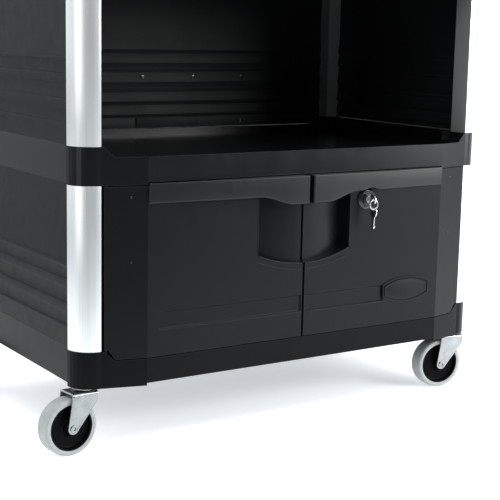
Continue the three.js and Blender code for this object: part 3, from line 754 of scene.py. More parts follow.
KEY = PlatedMetal(
    slot="key_metal",
    colour=(0.7, 0.7, 0.67),
    shade=(0.5, 0.5, 0.47),
    worn=(0.88, 0.87, 0.83),
    satin=(0.12, 0.24),
)
RUBBER = WheelRubber("tread_rubber", (0.29, 0.31, 0.305), (0.35, 0.37, 0.365))

Finish = MouldedPlastic | ExtrudedAluminium | PlatedMetal | WheelRubber | StudioFloor


# ------------------------------------------------------------------ bench: from shell to object


@dataclass
class Bench:
    """Makes, dresses and places the objects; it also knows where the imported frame's parts lie."""

    made: dict[Finish, bpy.types.Material] = field(default_factory=dict)
    flat: float = 0.3
    sharp: float = 11
    flat_weight: int = 80

    def __post_init__(self) -> None:
        """Reads the corner posts, which give the cart's origin, length, depth and levels."""
        low_left, left_top = (np.array(c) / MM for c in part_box("lower_front_left_post"))
        _, far_right = (np.array(c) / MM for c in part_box("lower_back_right_post"))
        self.half_length = (far_right[0] - low_left[0]) / 2
        self.depth = far_right[1] - low_left[1]
        self.origin = np.array([(far_right[0] + low_left[0]) / 2, low_left[1], 0])
        upper, _ = (np.array(c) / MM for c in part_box("upper_front_left_post"))
        tall = left_top[2] - low_left[2]
        self.sections = {"lower": (low_left[2], left_top[2]), "upper": (upper[2], upper[2] + tall)}
        self.corner = left_top[0] - low_left[0]
        bodies = frame["record"]["behaviour"]["bodies"]
        self.body_of = {node: body for body, members in bodies.items() for node in members}

    def box(self, node: str) -> tuple[Array, Array]:
        """Lowest and highest corner of a CAD node, in cart coordinates."""
        low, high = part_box(node)
        return np.array(low) / MM - self.origin, np.array(high) / MM - self.origin

    def centre(self, node: str) -> Array:
        """Middle of a CAD node's box, in cart coordinates."""
        low, high = self.box(node)
        return (low + high) / 2

    def finish(self, finish: Finish) -> bpy.types.Material:
        """The finish's material, built once.

        Args:
            finish: the finish.

        Returns:
            Its material.
        """
        if finish not in self.made:
            self.made[finish] = finish.material()
        return self.made[finish]

    def _dressed(self, piece: bpy.types.Object, finish: Finish, body: str) -> bpy.types.Object:
        """Puts the finish on a new piece and makes it ride on a body.

        Args:
            piece: the new piece.
            finish: its finish.
            body: the body that it moves with.

        Returns:
            The same piece.
        """
        piece.data.materials.clear()
        piece.data.materials.append(self.finish(finish))
        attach(piece, body)
        log.info("%-34s %6d faces  %s", piece.name, len(piece.data.polygons), finish.slot)
        return piece

    def _object(self, name: str, mesh: bpy.types.Mesh) -> bpy.types.Object:
        """Links a new object for a mesh.

        Args:
            name: object name.
            mesh: its mesh.

        Returns:
            The object.
        """
        piece = bpy.data.objects.new(name, mesh)
        bpy.context.scene.collection.objects.link(piece)
        return piece

    def mesh(self, name: str, shell: Shell, crease: float = 38) -> bpy.types.Object:
        """Writes a shell as a mesh object.

        Doubles are merged, normals are turned outwards, and edges sharper than crease stay sharp.

        Args:
            name: object name.
            shell: the shape, in cart coordinates.
            crease: angle in degrees.

        Returns:
            The object, with no material.
        """
        mesh = bpy.data.meshes.new(name)
        mesh.from_pydata(((shell.points + self.origin) * MM).tolist(), [], shell.faces)
        work = bmesh.new()
        work.from_mesh(mesh)
        bmesh.ops.remove_doubles(work, verts=work.verts, dist=MERGE * MM)
        bmesh.ops.recalc_face_normals(work, faces=work.faces)
        work.to_mesh(mesh)
        work.free()
        mesh.polygons.foreach_set("use_smooth", np.ones(len(mesh.polygons), bool))
        mesh.set_sharp_from_angle(angle=radians(crease))
        return self._object(name, mesh)

    def make(
        self, name: str, shell: Shell, finish: Finish, *nodes: str, crease: float = 38
    ) -> bpy.types.Object:
        """A new piece that stands for CAD nodes and rides on their body.

        Args:
            name: object name.
            shell: the shape.
            finish: its finish.
            *nodes: the CAD nodes.
            crease: angle in degrees above which edges stay sharp.

        Returns:
            The piece.
        """
        piece = self._dressed(self.mesh(name, shell, crease), finish, self.body_of[nodes[0]])
        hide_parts(*nodes)
        return piece

    def add(self, name: str, shell: Shell, finish: Finish, body: str) -> bpy.types.Object:
        """A new piece that stands for no CAD node."""
        return self._dressed(self.mesh(name, shell), finish, body)

    def soften(
        self, node: str, name: str, finish: Finish, edge: float, segments: int = 3
    ) -> bpy.types.Object:
        """A merged copy of a CAD node whose edges are rounded.

        Args:
            node: the CAD node.
            name: the new piece's name.
            finish: its finish.
            edge: radius of the rounding.
            segments: pieces in the rounding.

        Returns:
            The piece, with live bevel and weighted-normal modifiers.
        """
        work = bmesh.new()
        work.from_mesh(frame["nodes"][node].data)
        bmesh.ops.remove_doubles(work, verts=work.verts, dist=MERGE * MM)
        bmesh.ops.dissolve_limit(
            work,
            angle_limit=radians(self.flat),
            verts=work.verts,
            edges=work.edges,
            use_dissolve_boundaries=False,
        )
        mesh = bpy.data.meshes.new(name)
        work.to_mesh(mesh)
        work.free()
        for leftover in ("custom_normal", "UVMap", "sharp_edge"):
            if leftover in mesh.attributes:
                mesh.attributes.remove(mesh.attributes[leftover])
        mesh.polygons.foreach_set("use_smooth", np.ones(len(mesh.polygons), bool))
        piece = self._object(name, mesh)
        self._dressed(piece, finish, self.body_of[node])
        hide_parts(node)
        bevel = piece.modifiers.new("rounded edges", "BEVEL")
        bevel.width, bevel.segments = edge * MM, segments
        bevel.limit_method, bevel.angle_limit = "ANGLE", radians(self.sharp)
        bevel.miter_outer = "MITER_ARC"
        shade = piece.modifiers.new("flat faces stay flat", "WEIGHTED_NORMAL")
        shade.weight = self.flat_weight
        return piece

    def dress(self, node: str, finish: Finish) -> None:
        """Gives a CAD node that stays as it is its finish.

        Args:
            node: the CAD node.
            finish: its finish.
        """
        part = frame["nodes"][node]
        for slot in part.material_slots:
            slot.material = self.finish(finish)
        log.info("%-34s   kept CAD  %s", node, finish.slot)


# ------------------------------------------------------------------ sub-assemblies


@dataclass
class Trays:
    """Three moulded trays with sloped shoulders at the corners and bowed fronts."""

    bench: Bench
    edge: float = 1.3

    def build(self) -> None:
        """Makes the three mouldings."""
        for level in ("bottom", "middle", "top"):
            finish = {"bottom": LOW_TRAY, "top": TOP_TRAY}.get(level, TRAY)
            self.bench.soften(f"{level}_tray", f"{level}_tray_moulding", finish, self.edge)


@dataclass
class CornerPosts:
    """Quarter-round aluminium extrusions with a thin set-back lip on both inner edges."""

    bench: Bench
    lip: float = 3.2
    lip_depth: float = 0.9
    edge: float = 0.5

    def section(self) -> Array:
        """Quarter disc of the post's radius with both lips, as (outwards in X, outwards in Y).

        Returns:
            (n, 2) closed outline.
        """
        radius = self.bench.corner
        start = np.arcsin(self.lip / radius)
        angle = np.linspace(start, pi / 2 - start, 41)
        curve = np.stack([np.cos(angle), np.sin(angle)], -1) * radius
        face = radius - self.lip_depth
        return np.vstack([[0, 0], [face, 0], [face, self.lip], curve, [self.lip, face], [0, face]])

    def build(self) -> None:
        """Makes the eight posts."""
        bench = self.bench
        for section, (foot, top) in bench.sections.items():
            for end in End:
                for side in Side:
                    u, v = self.section().T
                    x = end.value * (bench.half_length - bench.corner + u)
                    y = bench.corner - v if side is Side.FRONT else bench.depth - bench.corner + v
                    name = f"{section}_{side.name.lower()}_{end.name.lower()}_post"
                    shell = slab(np.column_stack([x, y]), foot, top, self.edge, Facing.UP)
                    bench.make(f"{name}_extrusion", shell, ALUMINIUM, name, crease=30)


@dataclass
class RibbedPanels:
    """Side and back panels with raised ribs outside and louvre-like steps inside."""

    bench: Bench
    thickness: float = 6
    rib: float = 3
    slope: float = 1.5
    soft: float = 0.28
    ribs: tuple[tuple[float, float], ...] = ((29, 36), (56, 73), (96, 112), (131, 138))
    steps: tuple[tuple[float, ...], ...] = (
        (5, 12),
        (29.6, 38),
        (55.7, 64, 76),
        (95, 103, 114),
        (132, 140),
    )
    step_depth: float = 3.6
    ledge: float = 0.7
    ledge_back: float = 0.8
    lean: float = 2.6
    top_band: float = 157.5
    shoulder: float = 62.5
    block: float = 45.5
    tab_half: float = 73
    tab_top: float = 5
    plugs: tuple[tuple[float, float], ...] = ((-5.4, -0.6), (85.4, 0.8))
    plug_pitch: float = 117
    plug_size: tuple[float, float, float] = (4.8, 0.35, 0.5)

    def outside(self) -> Array:
        """Ribs as (out, height) corners, going up.

        Returns:
            (n, 2) corners.
        """
        low, high = np.array(self.ribs).T
        out = np.zeros(len(low))
        corners = [
            np.stack([out, low], -1),
            np.stack([out + self.rib, low + self.slope], -1),
            np.stack([out + self.rib, high - self.slope], -1),
            np.stack([out, high], -1),
        ]
        return np.stack(corners, 1).reshape(-1, 2)

    def inside(self) -> Array:
        """Bands and hollows as (out, height) corners, going down.

        A band leans back by lean towards its top; the hollow below it runs outwards to a thin ledge.

        Returns:
            (n, 2) corners.
        """
        corners = [[self.lean, self.top_band]]
        for step in reversed(self.steps):
            ledges = np.array(step[:-1])[::-1]
            corners.append([0, step[-1]])
            for ledge in ledges:
                back = self.lean if ledge == ledges[-1] else self.ledge_back
                corners += [[self.step_depth, ledge + self.ledge], [back, ledge]]
        inner = np.array(corners, float)
        return inner - [self.thickness, 0]

    def section(self, foot: float, top: float) -> Array:
        """Closed (out, height) section of a panel, with softened corners.

        Args:
            foot: height of its foot above the tray.
            top: height of its top above the tray.

        Returns:
            (n, 2) outline.
        """
        corners = np.vstack(
            [
                [[0, foot]],
                self.outside(),
                [[0, top]],
                [[self.lean - self.thickness, top]],
                self.inside(),
                [[-self.thickness, foot]],
            ]
        )
        return rounded(corners, self.soft, 2)

    def build(self) -> None:
        """Makes the six panels."""
        for section, (foot, _) in self.bench.sections.items():
            for end in End:
                self._side(section, end, foot)
            self._back(section, foot)

    def _side(self, section: str, end: End, level: float) -> None:
        """A side panel: the section carried from front to back.

        Args:
            section: lower or upper.
            end: which end of the cart.
            level: height of the tray's top.
        """
        name = f"{section}_{end.name.lower()}_panel"
        low, high = self.bench.box(name)
        face = high[0] - self.rib if end is End.RIGHT else low[0] + self.rib
        outline = self.section(low[2] - level, high[2] - level) * [end.value, 1] + [face, level]
        shell = slab(outline, low[1], high[1], 0.4, Facing.FRONT, 1)
        self.bench.make(f"{name}_sheet", shell, PANEL, name, crease=25)

    def _back(self, section: str, level: float) -> None:
        """The back panel: its foot steps down between the tray's sloped shoulders.

        Args:
            section: lower or upper.
            level: height of the tray's top.
        """
        name = f"{section}_back_panel"
        low, high = self.bench.box(name)
        base = self.section(low[2] - level, high[2] - level)
        shoulder = self.bench.half_length - self.shoulder
        block = self.bench.half_length - self.block
        reach = high[0]
        x = np.array([-reach, -block, -shoulder, 0, shoulder, block, reach])
        rise = np.clip((np.abs(x) - shoulder) / (block - shoulder), 0, 1) * (level - low[2])
        out = np.broadcast_to(base[:, 0], (len(x), len(base)))
        height = base[None, :, 1] + np.where(base[None, :, 1] < 1, rise[:, None], 0)
        across = np.broadcast_to(x[:, None], out.shape)
        grid = np.stack([across, high[1] - self.rib + out, level + height], -1)
        sheet = Shell.woven(grid, False, True, True)
        self.bench.make(f"{name}_sheet", sheet, PANEL, name, crease=25)
        face = high[1] - self.rib - self.thickness
        half, tab_foot, tab_top = self.tab_half, low[2] + 1, level + self.tab_top
        tab = np.array([[-half, tab_foot], [half, tab_foot], [half, tab_top], [-half, tab_top]])
        shell = slab(rounded(tab, 2, 4), face - 1.4, face + 1, 0.8, Facing.FRONT)
        self.bench.add(f"{name}_tab", shell, PANEL, "cart_body")
        for column, x in enumerate((np.arange(-3, 3) + 0.5) * self.plug_pitch):
            for row, (height, depth) in enumerate(self.plugs):
                plug = button(*self.plug_size, np.array([x, face + depth, level + height]), 3, 24)
                self.bench.add(f"{name}_plug_{column}_{row}", plug, TRAY, "cart_body")


@dataclass
class PullRail:
    """Rail across the top of a door: bowed forwards, drooping at the gap, arched over the lock."""

    bench: Bench
    end: End
    inner: float = 4.2
    outer: float = 306.6
    tall: float = 31.5
    bow: float = 15
    droop: float = 15.5
    ease: tuple[float, float] = (36, 100)
    arch: float = 21.6
    skin: float = 0.6
    under: float = 1.3
    top_edge: float = 1.5
    low_edge: float = 3.5
    end_edge: float = 2.2
    depth: float = 2.4
    top_lift: float = 0.3
    flat_end: float = 0.6
    stations: int = 150

    def low_line(self, x: Array, top: float) -> Array:
        """Height of the lower edge: a soft step down to the gap, and a circle round the lock.

        Args:
            x: distances from the gap.
            top: height of the door's top.

        Returns:
            Height at each place.
        """
        level = top - self.tall - self.under - self.droop * (1 - smooth_step(*self.ease, x))
        if self.end is End.RIGHT:
            lock = self.bench.centre("lock_collar")
            rise = np.sqrt(np.clip(self.arch**2 - (x - lock[0]) ** 2, 0, None))
            level = np.maximum(level, np.where(rise > 0, lock[2] + rise, 0))
        return np.convolve(np.pad(level, 4, mode="edge"), np.ones(9) / 9, mode="valid")

    def shell(self) -> Shell:
        """Rounded rectangle in (y, z) carried along the door, its ends drawn in as quarter rounds.

        Returns:
            The closed shell.
        """
        low, high = self.bench.box(f"{self.end.name.lower()}_door")
        top, front = high[2] + self.top_lift, low[1] + self.bow - self.skin
        x = np.linspace(self.inner, self.outer, self.stations)
        y = front - self.bow * (1 - (x / (self.outer - self.flat_end)) ** 2)
        foot = self.low_line(x, high[2])
        turn = np.linspace(0, pi / 2, 7)
        corners = [
            (0, 1, 0, np.zeros(1), np.ones(1)),
            (1, 1, self.top_edge, -np.sin(turn), np.cos(turn)),
            (1, 0, self.low_edge, -np.cos(turn), -np.sin(turn)),
            (0, 0, 0, np.zeros(1), -np.ones(1)),
        ]
        back = np.full_like(x, front + self.depth)
        edge = self.end_edge
        reach = np.minimum(x - self.inner, self.outer - x)
        inset = edge - np.sqrt(np.clip(edge**2 - np.clip(edge - reach, 0, None) ** 2, 0, None))
        columns_y, columns_z = [], []
        for at_front, at_top, radius, across, up in corners:
            side = np.where(at_front, y, back)[:, None]
            level = np.where(at_top, top, foot)[:, None]
            columns_y.append(side + at_front * radius * (1 + across) - inset[:, None] * across)
            corner_up = 1 if at_top else -1
            columns_z.append(level + radius * (up - corner_up) * at_front - inset[:, None] * up)
        flat_y, flat_z = np.concatenate(columns_y, 1), np.concatenate(columns_z, 1)
        flat_x = np.broadcast_to(x[:, None] * self.end.value, flat_y.shape)
        return Shell.woven(np.stack([flat_x, flat_y, flat_z], -1), False, True, True)

    def build(self) -> None:
        """Makes the rail."""
        side = self.end.name.lower()
        self.bench.add(f"{side}_pull_rail", self.shell(), RAIL, f"{side}_door")


@dataclass
class Doors:
    """Two bowed doors with pull rails, finger recesses and a moulded band, and the blank badge."""

    bench: Bench
    edge: float = 1.0
    badge_border: float = 2.2
    pocket: float = 3.0
    sill_foot: float = 130.0
    sill_rise: float = 20.0
    recess_half: float = 96.5
    recess_top: float = 252.0
    gap: float = 3.6
    under_drop: float = 10.5
    band_foot: float = 44.6
    band_start: float = 4.6
    band_ends: tuple[float, float] = (286, 174)
    face: float = 19.3
    sunk: float = 0.25
    mark_place: float = 334
    mark_levels: tuple[float, float] = (158.0, 262.0)
    mark_size: tuple[float, float, float] = (2.2, 0.5, 0.6)
    cheek: tuple[float, float, float, float] = (375, 68, 1.5, 17.5)

    def build(self) -> None:
        """Makes both leaves, their rails and beads, and the badge, and dresses the pins."""
        for end in End:
            side = end.name.lower()
            self.bench.soften(f"{side}_door", f"{side}_door_leaf", DOOR, self.edge)
            PullRail(self.bench, end).build()
            self._beads(end)
            for place in ("lower", "upper"):
                self.bench.dress(f"{side}_door_{place}_pin", DOOR)
        self._badge()

    def _beads(self, end: End) -> None:
        """Thin beads below and beside the recess, along the moulded band, and small mould marks.

        The sill's height rises with the square of the distance from the gap.

        Args:
            end: which door.
        """
        side = end.name.lower()
        foot = self.bench.box(f"{side}_door")[0][2]
        x = np.linspace(self.gap, self.recess_half, 60)
        sill = foot + self.sill_foot + self.sill_rise * (x / self.recess_half) ** 2
        wall = np.linspace(sill[-1], foot + self.recess_top, 30)
        wall_place = np.full_like(wall, self.recess_half + 0.6)
        band = np.linspace(self.band_start, self.band_ends[end is End.RIGHT], 40)
        band_level = np.full_like(band, foot + self.band_foot - 1)
        paths = {
            "sill": (np.column_stack([x, sill]), 1.2),
            "under_sill": (np.column_stack([x * 1.02, sill - self.under_drop]), 0.9),
            "recess_wall": (np.column_stack([wall_place, wall]), 0.8),
            "band": (np.column_stack([band, band_level]), 1.0),
        }
        for name, (path, radius) in paths.items():
            shell = bead(path * [end.value, 1], radius, -self.face + self.sunk)
            self.bench.add(f"{side}_door_{name}_bead", shell, DOOR, f"{side}_door")
        far, run, start, rise = self.cheek
        front = start + rise * (far - self.mark_place) / run
        for height in self.mark_levels:
            centre = np.array([end.value * self.mark_place, 0.1 - front, foot + height])
            mark = button(*self.mark_size, centre, 2, 16)
            self.bench.add(f"{side}_door_mark_{height:.0f}", mark, TRAY, f"{side}_door")

    def barrel(self, grow: float) -> Array:
        """Barrel outline: two arched long sides, height falling with the square of the distance.

        Args:
            grow: how far it stands outside the badge's box.

        Returns:
            (n, 2) closed outline.
        """
        low, high = self.bench.box("door_badge")
        middle, half, tall = (low + high) / 2, (high[0] - low[0]) / 2, (high[2] - low[2]) / 2
        along = np.linspace(-1, 1, 25)
        height = tall * (0.5 + 0.5 * (1 - along**2)) + grow
        x = middle[0] + along * (half + grow)
        top = np.column_stack([x[::-1], middle[2] + height[::-1]])
        foot = np.column_stack([x, middle[2] - height])
        return np.vstack([foot, top])

    def _badge(self) -> None:
        """The plate with its raised border, set in a pocket with a raised rim."""
        low, high = self.bench.box("door_badge")
        plate = slab(self.barrel(-self.pocket), low[1] + 0.9, high[1], 0.5, Facing.FRONT, 2)
        inner = self.barrel(-self.pocket - self.badge_border)
        border = washer(self.barrel(-self.pocket), inner, low[1] + 0.2, high[1], 0.35, Facing.FRONT)
        self.bench.make("badge_plate", plate + border, BADGE, "door_badge")
        outer, inner = self.barrel(1.6), self.barrel(-0.9)
        rim = washer(outer, inner, low[1] + 0.1, high[1] + 0.6, 0.8, Facing.FRONT)
        self.bench.add("badge_pocket_rim", rim, DOOR, "right_door")


@dataclass
class CabinetLock:
    """Cam lock: black collar, black nickel barrel, chrome plug, nut and cam behind the door."""

    bench: Bench
    collar: float = 19
    barrel: float = 9.5

    def build(self) -> None:
        """Makes the collar and the barrel, and dresses the rest."""
        self._collar()
        self._barrel()
        for node in ("lock_nut", "lock_cam"):
            self.bench.dress(node, ZINC)
        self.bench.dress("lock_plug", CHROME)

    def _collar(self) -> None:
        """Domed ring that stands on the door round the barrel."""
        low, high = self.bench.box("lock_collar")
        centre = self.bench.centre("lock_collar")
        centre[1] = high[1]
        proud = low[1] - high[1]
        bore = self.barrel + 0.3
        corners = [
            [bore, 0],
            [self.collar, 0],
            [self.collar, proud * 0.4],
            [self.collar - 4, proud],
            [bore, proud],
        ]
        profile = rounded(np.array(corners), [0.1, 0.3, 1.2, 1.4, 0.8], 5)
        shell = turned(profile, centre, Facing.FRONT, 72)
        self.bench.make("lock_bezel", shell, BLACK_NICKEL, "lock_collar")

    def _barrel(self) -> None:
        """Barrel with a rolled face; its thread is not modelled."""
        low, high = self.bench.box("lock_housing")
        centre = self.bench.centre("lock_housing")
        centre[1] = 0
        bore = 6.5
        corners = [[bore, low[1]], [self.barrel, low[1]], [self.barrel, high[1]], [bore, high[1]]]
        profile = rounded(np.array(corners), [0.5, 1.1, 0.4, 0.2], 5)
        shell = turned(profile, centre, Facing.FRONT, 64)
        self.bench.make("lock_barrel", shell, BLACK_NICKEL, "lock_housing")


@dataclass
class Keys:
    """The key in the lock, the split ring and the spare key that hangs from it."""

    bench: Bench
    thickness: float = 2.2
    hole: float = 2.6
    blade: float = 6.6
    wire: float = 0.9

    def blank(self, bow: float, length: float) -> Shell:
        """Flat key in the plane of U and V: oval bow at the origin and blade towards +U.

        The blade's lower edge is cut to a row of teeth whose depth repeats a sine of the distance.

        Args:
            bow: radius of the bow.
            length: from the bow's centre to the blade's tip.

        Returns:
            The shell, U along Y, V along Z, flat across X.
        """
        half = self.thickness / 2
        turn = circle(1, 48)
        rim = turn * [bow, bow * 0.92]
        eye = turn * self.hole + [self.hole + 2.5 - bow, 0]
        head = washer(rim, eye, -half, half, 0.35, Facing.SIDE)
        x = np.linspace(bow * 0.72, length - 2.4, 40)
        teeth = 1.1 * (0.5 + 0.5 * np.sin(x * 2.1)) * smooth_step(bow + 2, bow + 4, x)
        foot = np.column_stack([x, teeth - self.blade / 2])
        top = np.column_stack([x[::-1], np.full(len(x), self.blade / 2)])
        tip = np.array([[length, -0.6], [length, 0.6]])
        shank = slab(np.vstack([foot, tip, top]), 0.25 - half, half - 0.25, 0.2, Facing.SIDE, 1)
        return head + shank

    def build(self) -> None:
        """Makes both keys and the ring."""
        low, high = self.bench.box("door_key")
        bow = (high[2] - low[2]) / 2
        centre = self.bench.centre("door_key")
        head = np.array([centre[0], low[1] + bow, centre[2]])
        key = self.blank(bow, high[1] - head[1]).moved(head)
        self.bench.make("key_in_lock", key, KEY, "door_key")
        low, high = self.bench.box("key_ring")
        ring_centre = self.bench.centre("key_ring")
        radius = (high[2] - low[2]) / 2 - self.wire
        first = hoop(radius, self.wire * 0.62, ring_centre + [0, 0.5, 0], Facing.FRONT)
        second = hoop(radius, self.wire * 0.62, ring_centre - [0, 0.5, 0], Facing.FRONT)
        self.bench.make("split_ring", first + second, CHROME, "key_ring")
        low, high = self.bench.box("spare_key")
        spare_centre = self.bench.centre("spare_key")
        bow = (high[1] - low[1]) / 2
        head = np.array([spare_centre[0], spare_centre[1], high[2] - bow])
        spare = self.blank(bow, head[2] - low[2]).turned_about(np.zeros(3), -pi / 2, "X")
        self.bench.make("spare_key_blank", spare.moved(head), KEY, "spare_key")


@dataclass
class Caster:
    """Swivel caster: stem and race on the tray, folded steel fork, bolt, hub and tread."""

    bench: Bench
    corner: str
    wall: float = 3
    fold: float = 5
    end_radius: float = 9.5
    tread_half: float = 15.5
    clearance: float = 2.6
    race: float = 4.2
    slant: tuple[float, float] = (0.877, 0.48)
    neck: tuple[float, float] = (15, 14)

    def __post_init__(self) -> None:
        """Reads the swivel axis, the wheel's centre and the way that the fork points."""
        self.axis = self.bench.centre(f"{self.corner}_stem")
        self.wheel = self.bench.centre(f"{self.corner}_hub")
        back = self.axis[:2] - self.wheel[:2]
        self.trail = float(np.hypot(*back))
        self.heading = atan2(back[1], back[0])
        _, crown = self.bench.box(f"{self.corner}_fork")
        self.crown = crown[2]
        low, high = self.bench.box(f"{self.corner}_hub")
        self.hub_radius = (high[2] - low[2]) / 2
        self.fork_half = self.tread_half + self.clearance + self.wall

    def _turned(self, shell: Shell) -> Shell:
        """Carries a shell made about the swivel axis, trailing to -X, to its heading."""
        return shell.turned_about(np.zeros(3), self.heading).moved([self.axis[0], self.axis[1], 0])

    def build(self) -> None:
        """Makes the five pieces."""
        self._stem()
        self._fork()
        self._bolt()
        self._hub()
        self._tread()

    def _stem(self) -> None:
        """Kingpin, ball race with a rolled lip, and the stem in the tray corner."""
        low, high = self.bench.box(f"{self.corner}_stem")
        foot = self.crown + 0.5
        top = foot + self.race
        corners = [
            [0, low[2]], [9, low[2]], [9, low[2] + 2], [6, low[2] + 2.2], [6, foot], [15, foot],
            [16.5, foot + 1.6], [19, foot + 1.7], [21, foot + 2.2], [21, top], [6, top], [6, high[2]],
            [0, high[2]],
        ]
        radii = [POLE, 0.4, 0.4, 0.2, 0.2, 0.4, 0.4, 0.3, 0.8, 0.5, 0.2, 0.5, POLE]
        centre = np.array([self.axis[0], self.axis[1], 0])
        shell = turned(rounded(np.array(corners), radii, 3), centre, Facing.UP, 64)
        self.bench.make(f"{self.corner}_race", shell, ZINC, f"{self.corner}_stem")

    def _edges(self, height: Array, across: Array) -> tuple[Array, Array]:
        """Rear and front edge of the fork sheet as X, at a height and a distance across.

        A leg narrows in a straight line to a round end about the axle; the crown's front is a circle
        about the swivel axis.

        Args:
            height: of each point.
            across: distance of each point from the wheel's middle plane.

        Returns:
            (rear, front), each as X.
        """
        axle = self.wheel[2]
        drop = np.clip(np.abs(height - axle) / self.end_radius, 0, 1)
        round_end = self.end_radius * np.sqrt(1 - drop**2)
        share = np.clip((height - axle) / (self.crown - axle), 0, 1)
        reach = np.where(height > axle, self.end_radius * (1 - share), round_end)
        rear = -self.trail - reach
        slant_out = self.slant[0] * self.end_radius - self.trail
        slant_foot = axle - self.slant[1] * self.end_radius
        neck_drop, neck_out = self.neck
        slant = np.interp(height, [slant_foot, self.crown - neck_drop], [slant_out, neck_out])
        front = np.where(height > slant_foot, slant, -self.trail + round_end)
        outer = np.abs(across).max()
        nose = np.sqrt(np.clip(outer**2 - across**2, 0, None))
        return rear, np.maximum(front, np.where(height > self.crown - 1, nose, -1e3))

    def _fork(self) -> None:
        """One sheet folded over the wheel: a path up one leg, over the crown and down the other.

        Each point of the path carries a strip from the rear edge to the front edge.
        """
        half, fold, crown = self.fork_half, self.fold, self.crown
        foot = self.wheel[2] - self.end_radius
        angle = np.linspace(0, pi / 2, 8)[1:]
        leg = foot + (crown - fold - foot) * np.linspace(0, 1, 40) ** 1.25
        flat = np.linspace(-half + fold, 0, 16)[1:]
        left = np.vstack(
            [
                np.column_stack([np.full_like(leg, -half), leg]),
                np.stack([-half + fold * (1 - np.cos(angle)), crown - fold * (1 - np.sin(angle))], -1),
                np.column_stack([flat, np.full_like(flat, crown)]),
            ]
        )
        path = np.vstack([left, (left * [-1, 1])[::-1][1:]])
        rear, front = self._edges(path[:, 1], path[:, 0])
        share = np.linspace(0, 1, 14)[None]
        x = rear[:, None] + (front - rear)[:, None] * share
        across, height = (np.broadcast_to(path[:, [column]], x.shape) for column in (0, 1))
        grid = np.stack([x, across, height], -1)
        shell = self._turned(Shell.woven(grid, False, False, False))
        name = f"{self.corner}_fork"
        piece = self.bench.make(f"{name}_sheet", shell, ZINC, name, crease=60)
        wall = piece.modifiers.new("sheet thickness", "SOLIDIFY")
        wall.thickness, wall.offset, wall.use_even_offset = self.wall * MM, self._inwards(piece), True
        bevel = piece.modifiers.new("pressed edge", "BEVEL")
        bevel.width, bevel.segments, bevel.angle_limit = 0.7 * MM, 2, radians(50)
        bevel.limit_method = "ANGLE"

    @staticmethod
    def _inwards(piece: bpy.types.Object) -> float:
        """Solidify offset that grows the sheet towards the wheel, from the crown's normal."""
        top = max(piece.data.polygons, key=lambda face: face.center.z)
        return -1.0 if top.normal.z > 0 else 1.0

    def _across(self, profile: Array, segments: int = 72) -> Shell:
        """Turns a (radius, across) profile about the axle."""
        shell = turned(profile, np.array([-self.trail, 0, self.wheel[2]]), Facing.FRONT, segments)
        return self._turned(shell)

    def _bolt(self) -> None:
        """Hollow axle rivet: a rolled rim round a deep dimple at each end."""
        low, high = self.bench.box(f"{self.corner}_axle_bolt")
        head, tall, shank = (high[2] - low[2]) / 2, 1.8, 4.0
        half = self.tread_half + self.clearance + self.wall + 0.3
        side = np.array(
            [
                [0, half - 2.5],
                [2.6, half - 1.5],
                [3.3, half + tall],
                [head, half + tall],
                [head, half],
                [shank, half],
            ]
        )
        corners = np.vstack([side * [1, -1], side[::-1]])
        radii = [POLE, 0.6, 0.5, 0.9, 0.3, 0.05]
        profile = rounded(corners, radii + radii[::-1], 4)
        shell = self._across(profile, 40)
        self.bench.make(f"{self.corner}_axle", shell, ZINC, f"{self.corner}_axle_bolt")

    def _hub(self) -> None:
        """Dished hub: raised rim and boss joined by a thin web with a soft hollow and one fine rib."""
        bore, boss, rim, web, out = 4.5, 17.6, 14.7, 7.0, self.hub_radius
        side = np.array(
            [
                [bore, boss], [11, boss], [13, web + 3], [17, web], [out - 9, web], [out - 8.4, web + 1.3],
                [out - 7.2, web + 1.3], [out - 6.4, web], [out - 4.2, web + 1], [out - 2.6, rim], [out, rim],
            ]
        )
        corners = np.vstack([side * [1, -1], side[::-1]])
        radii = [0.3, 1.2, 2, 3, 0.4, 0.4, 0.4, 0.6, 1.2, 0.6, 0.2]
        profile = rounded(corners, radii + radii[::-1], 4)
        shell = self._across(profile, 96)
        self.bench.make(f"{self.corner}_hub_moulding", shell, HUB, f"{self.corner}_hub")

    def _tread(self) -> None:
        """Moulded-on tread with round shoulders and a slight crown."""
        radius, half = self.wheel[2], self.tread_half
        inner = self.hub_radius + 0.3
        corners = [
            [inner, -half + 0.6], [inner + 3, -half], [radius - 1.2, -half], [radius, -half + 6],
            [radius, half - 6], [radius - 1.2, half], [inner + 3, half], [inner, half - 0.6],
        ]
        profile = rounded(np.array(corners), [0.2, 0.8, 4.2, 3, 3, 4.2, 0.8, 0.2], 6)
        shell = self._across(profile, 128)
        self.bench.make(f"{self.corner}_tyre", shell, RUBBER, f"{self.corner}_tread")


@dataclass
class PushHandle:
    """Two moulded arms and the bar between them."""

    bench: Bench
    edge: float = 2.5
    turn_in: float = 3
    waist: float = 0.9

    def build(self) -> None:
        """Makes the arms and the bar.

        The bar's radius falls with the cube of the distance from its middle.
        """
        for side in ("front", "back"):
            self.bench.soften(f"handle_{side}_arm", f"handle_{side}_arm_moulding", TRAY, self.edge, 4)
        low, high = self.bench.box("handle_bar")
        centre = self.bench.centre("handle_bar")
        centre[1] = 0
        radius = (high[0] - low[0]) / 2
        y = np.linspace(low[1] + self.turn_in, high[1] - self.turn_in, 60)
        middle = (low[1] + high[1]) / 2
        swell = radius - self.waist * np.abs((y - middle) / (high[1] - middle)) ** 3
        grip = np.column_stack([swell, y])
        rim = radius - self.turn_in
        profile = np.vstack([[[0, low[1]], [rim, low[1]]], grip, [[rim, high[1]], [0, high[1]]]])
        self.bench.make("handle_grip", turned(profile, centre, Facing.FRONT, 56), TRAY, "handle_bar")


# ------------------------------------------------------------------ studio


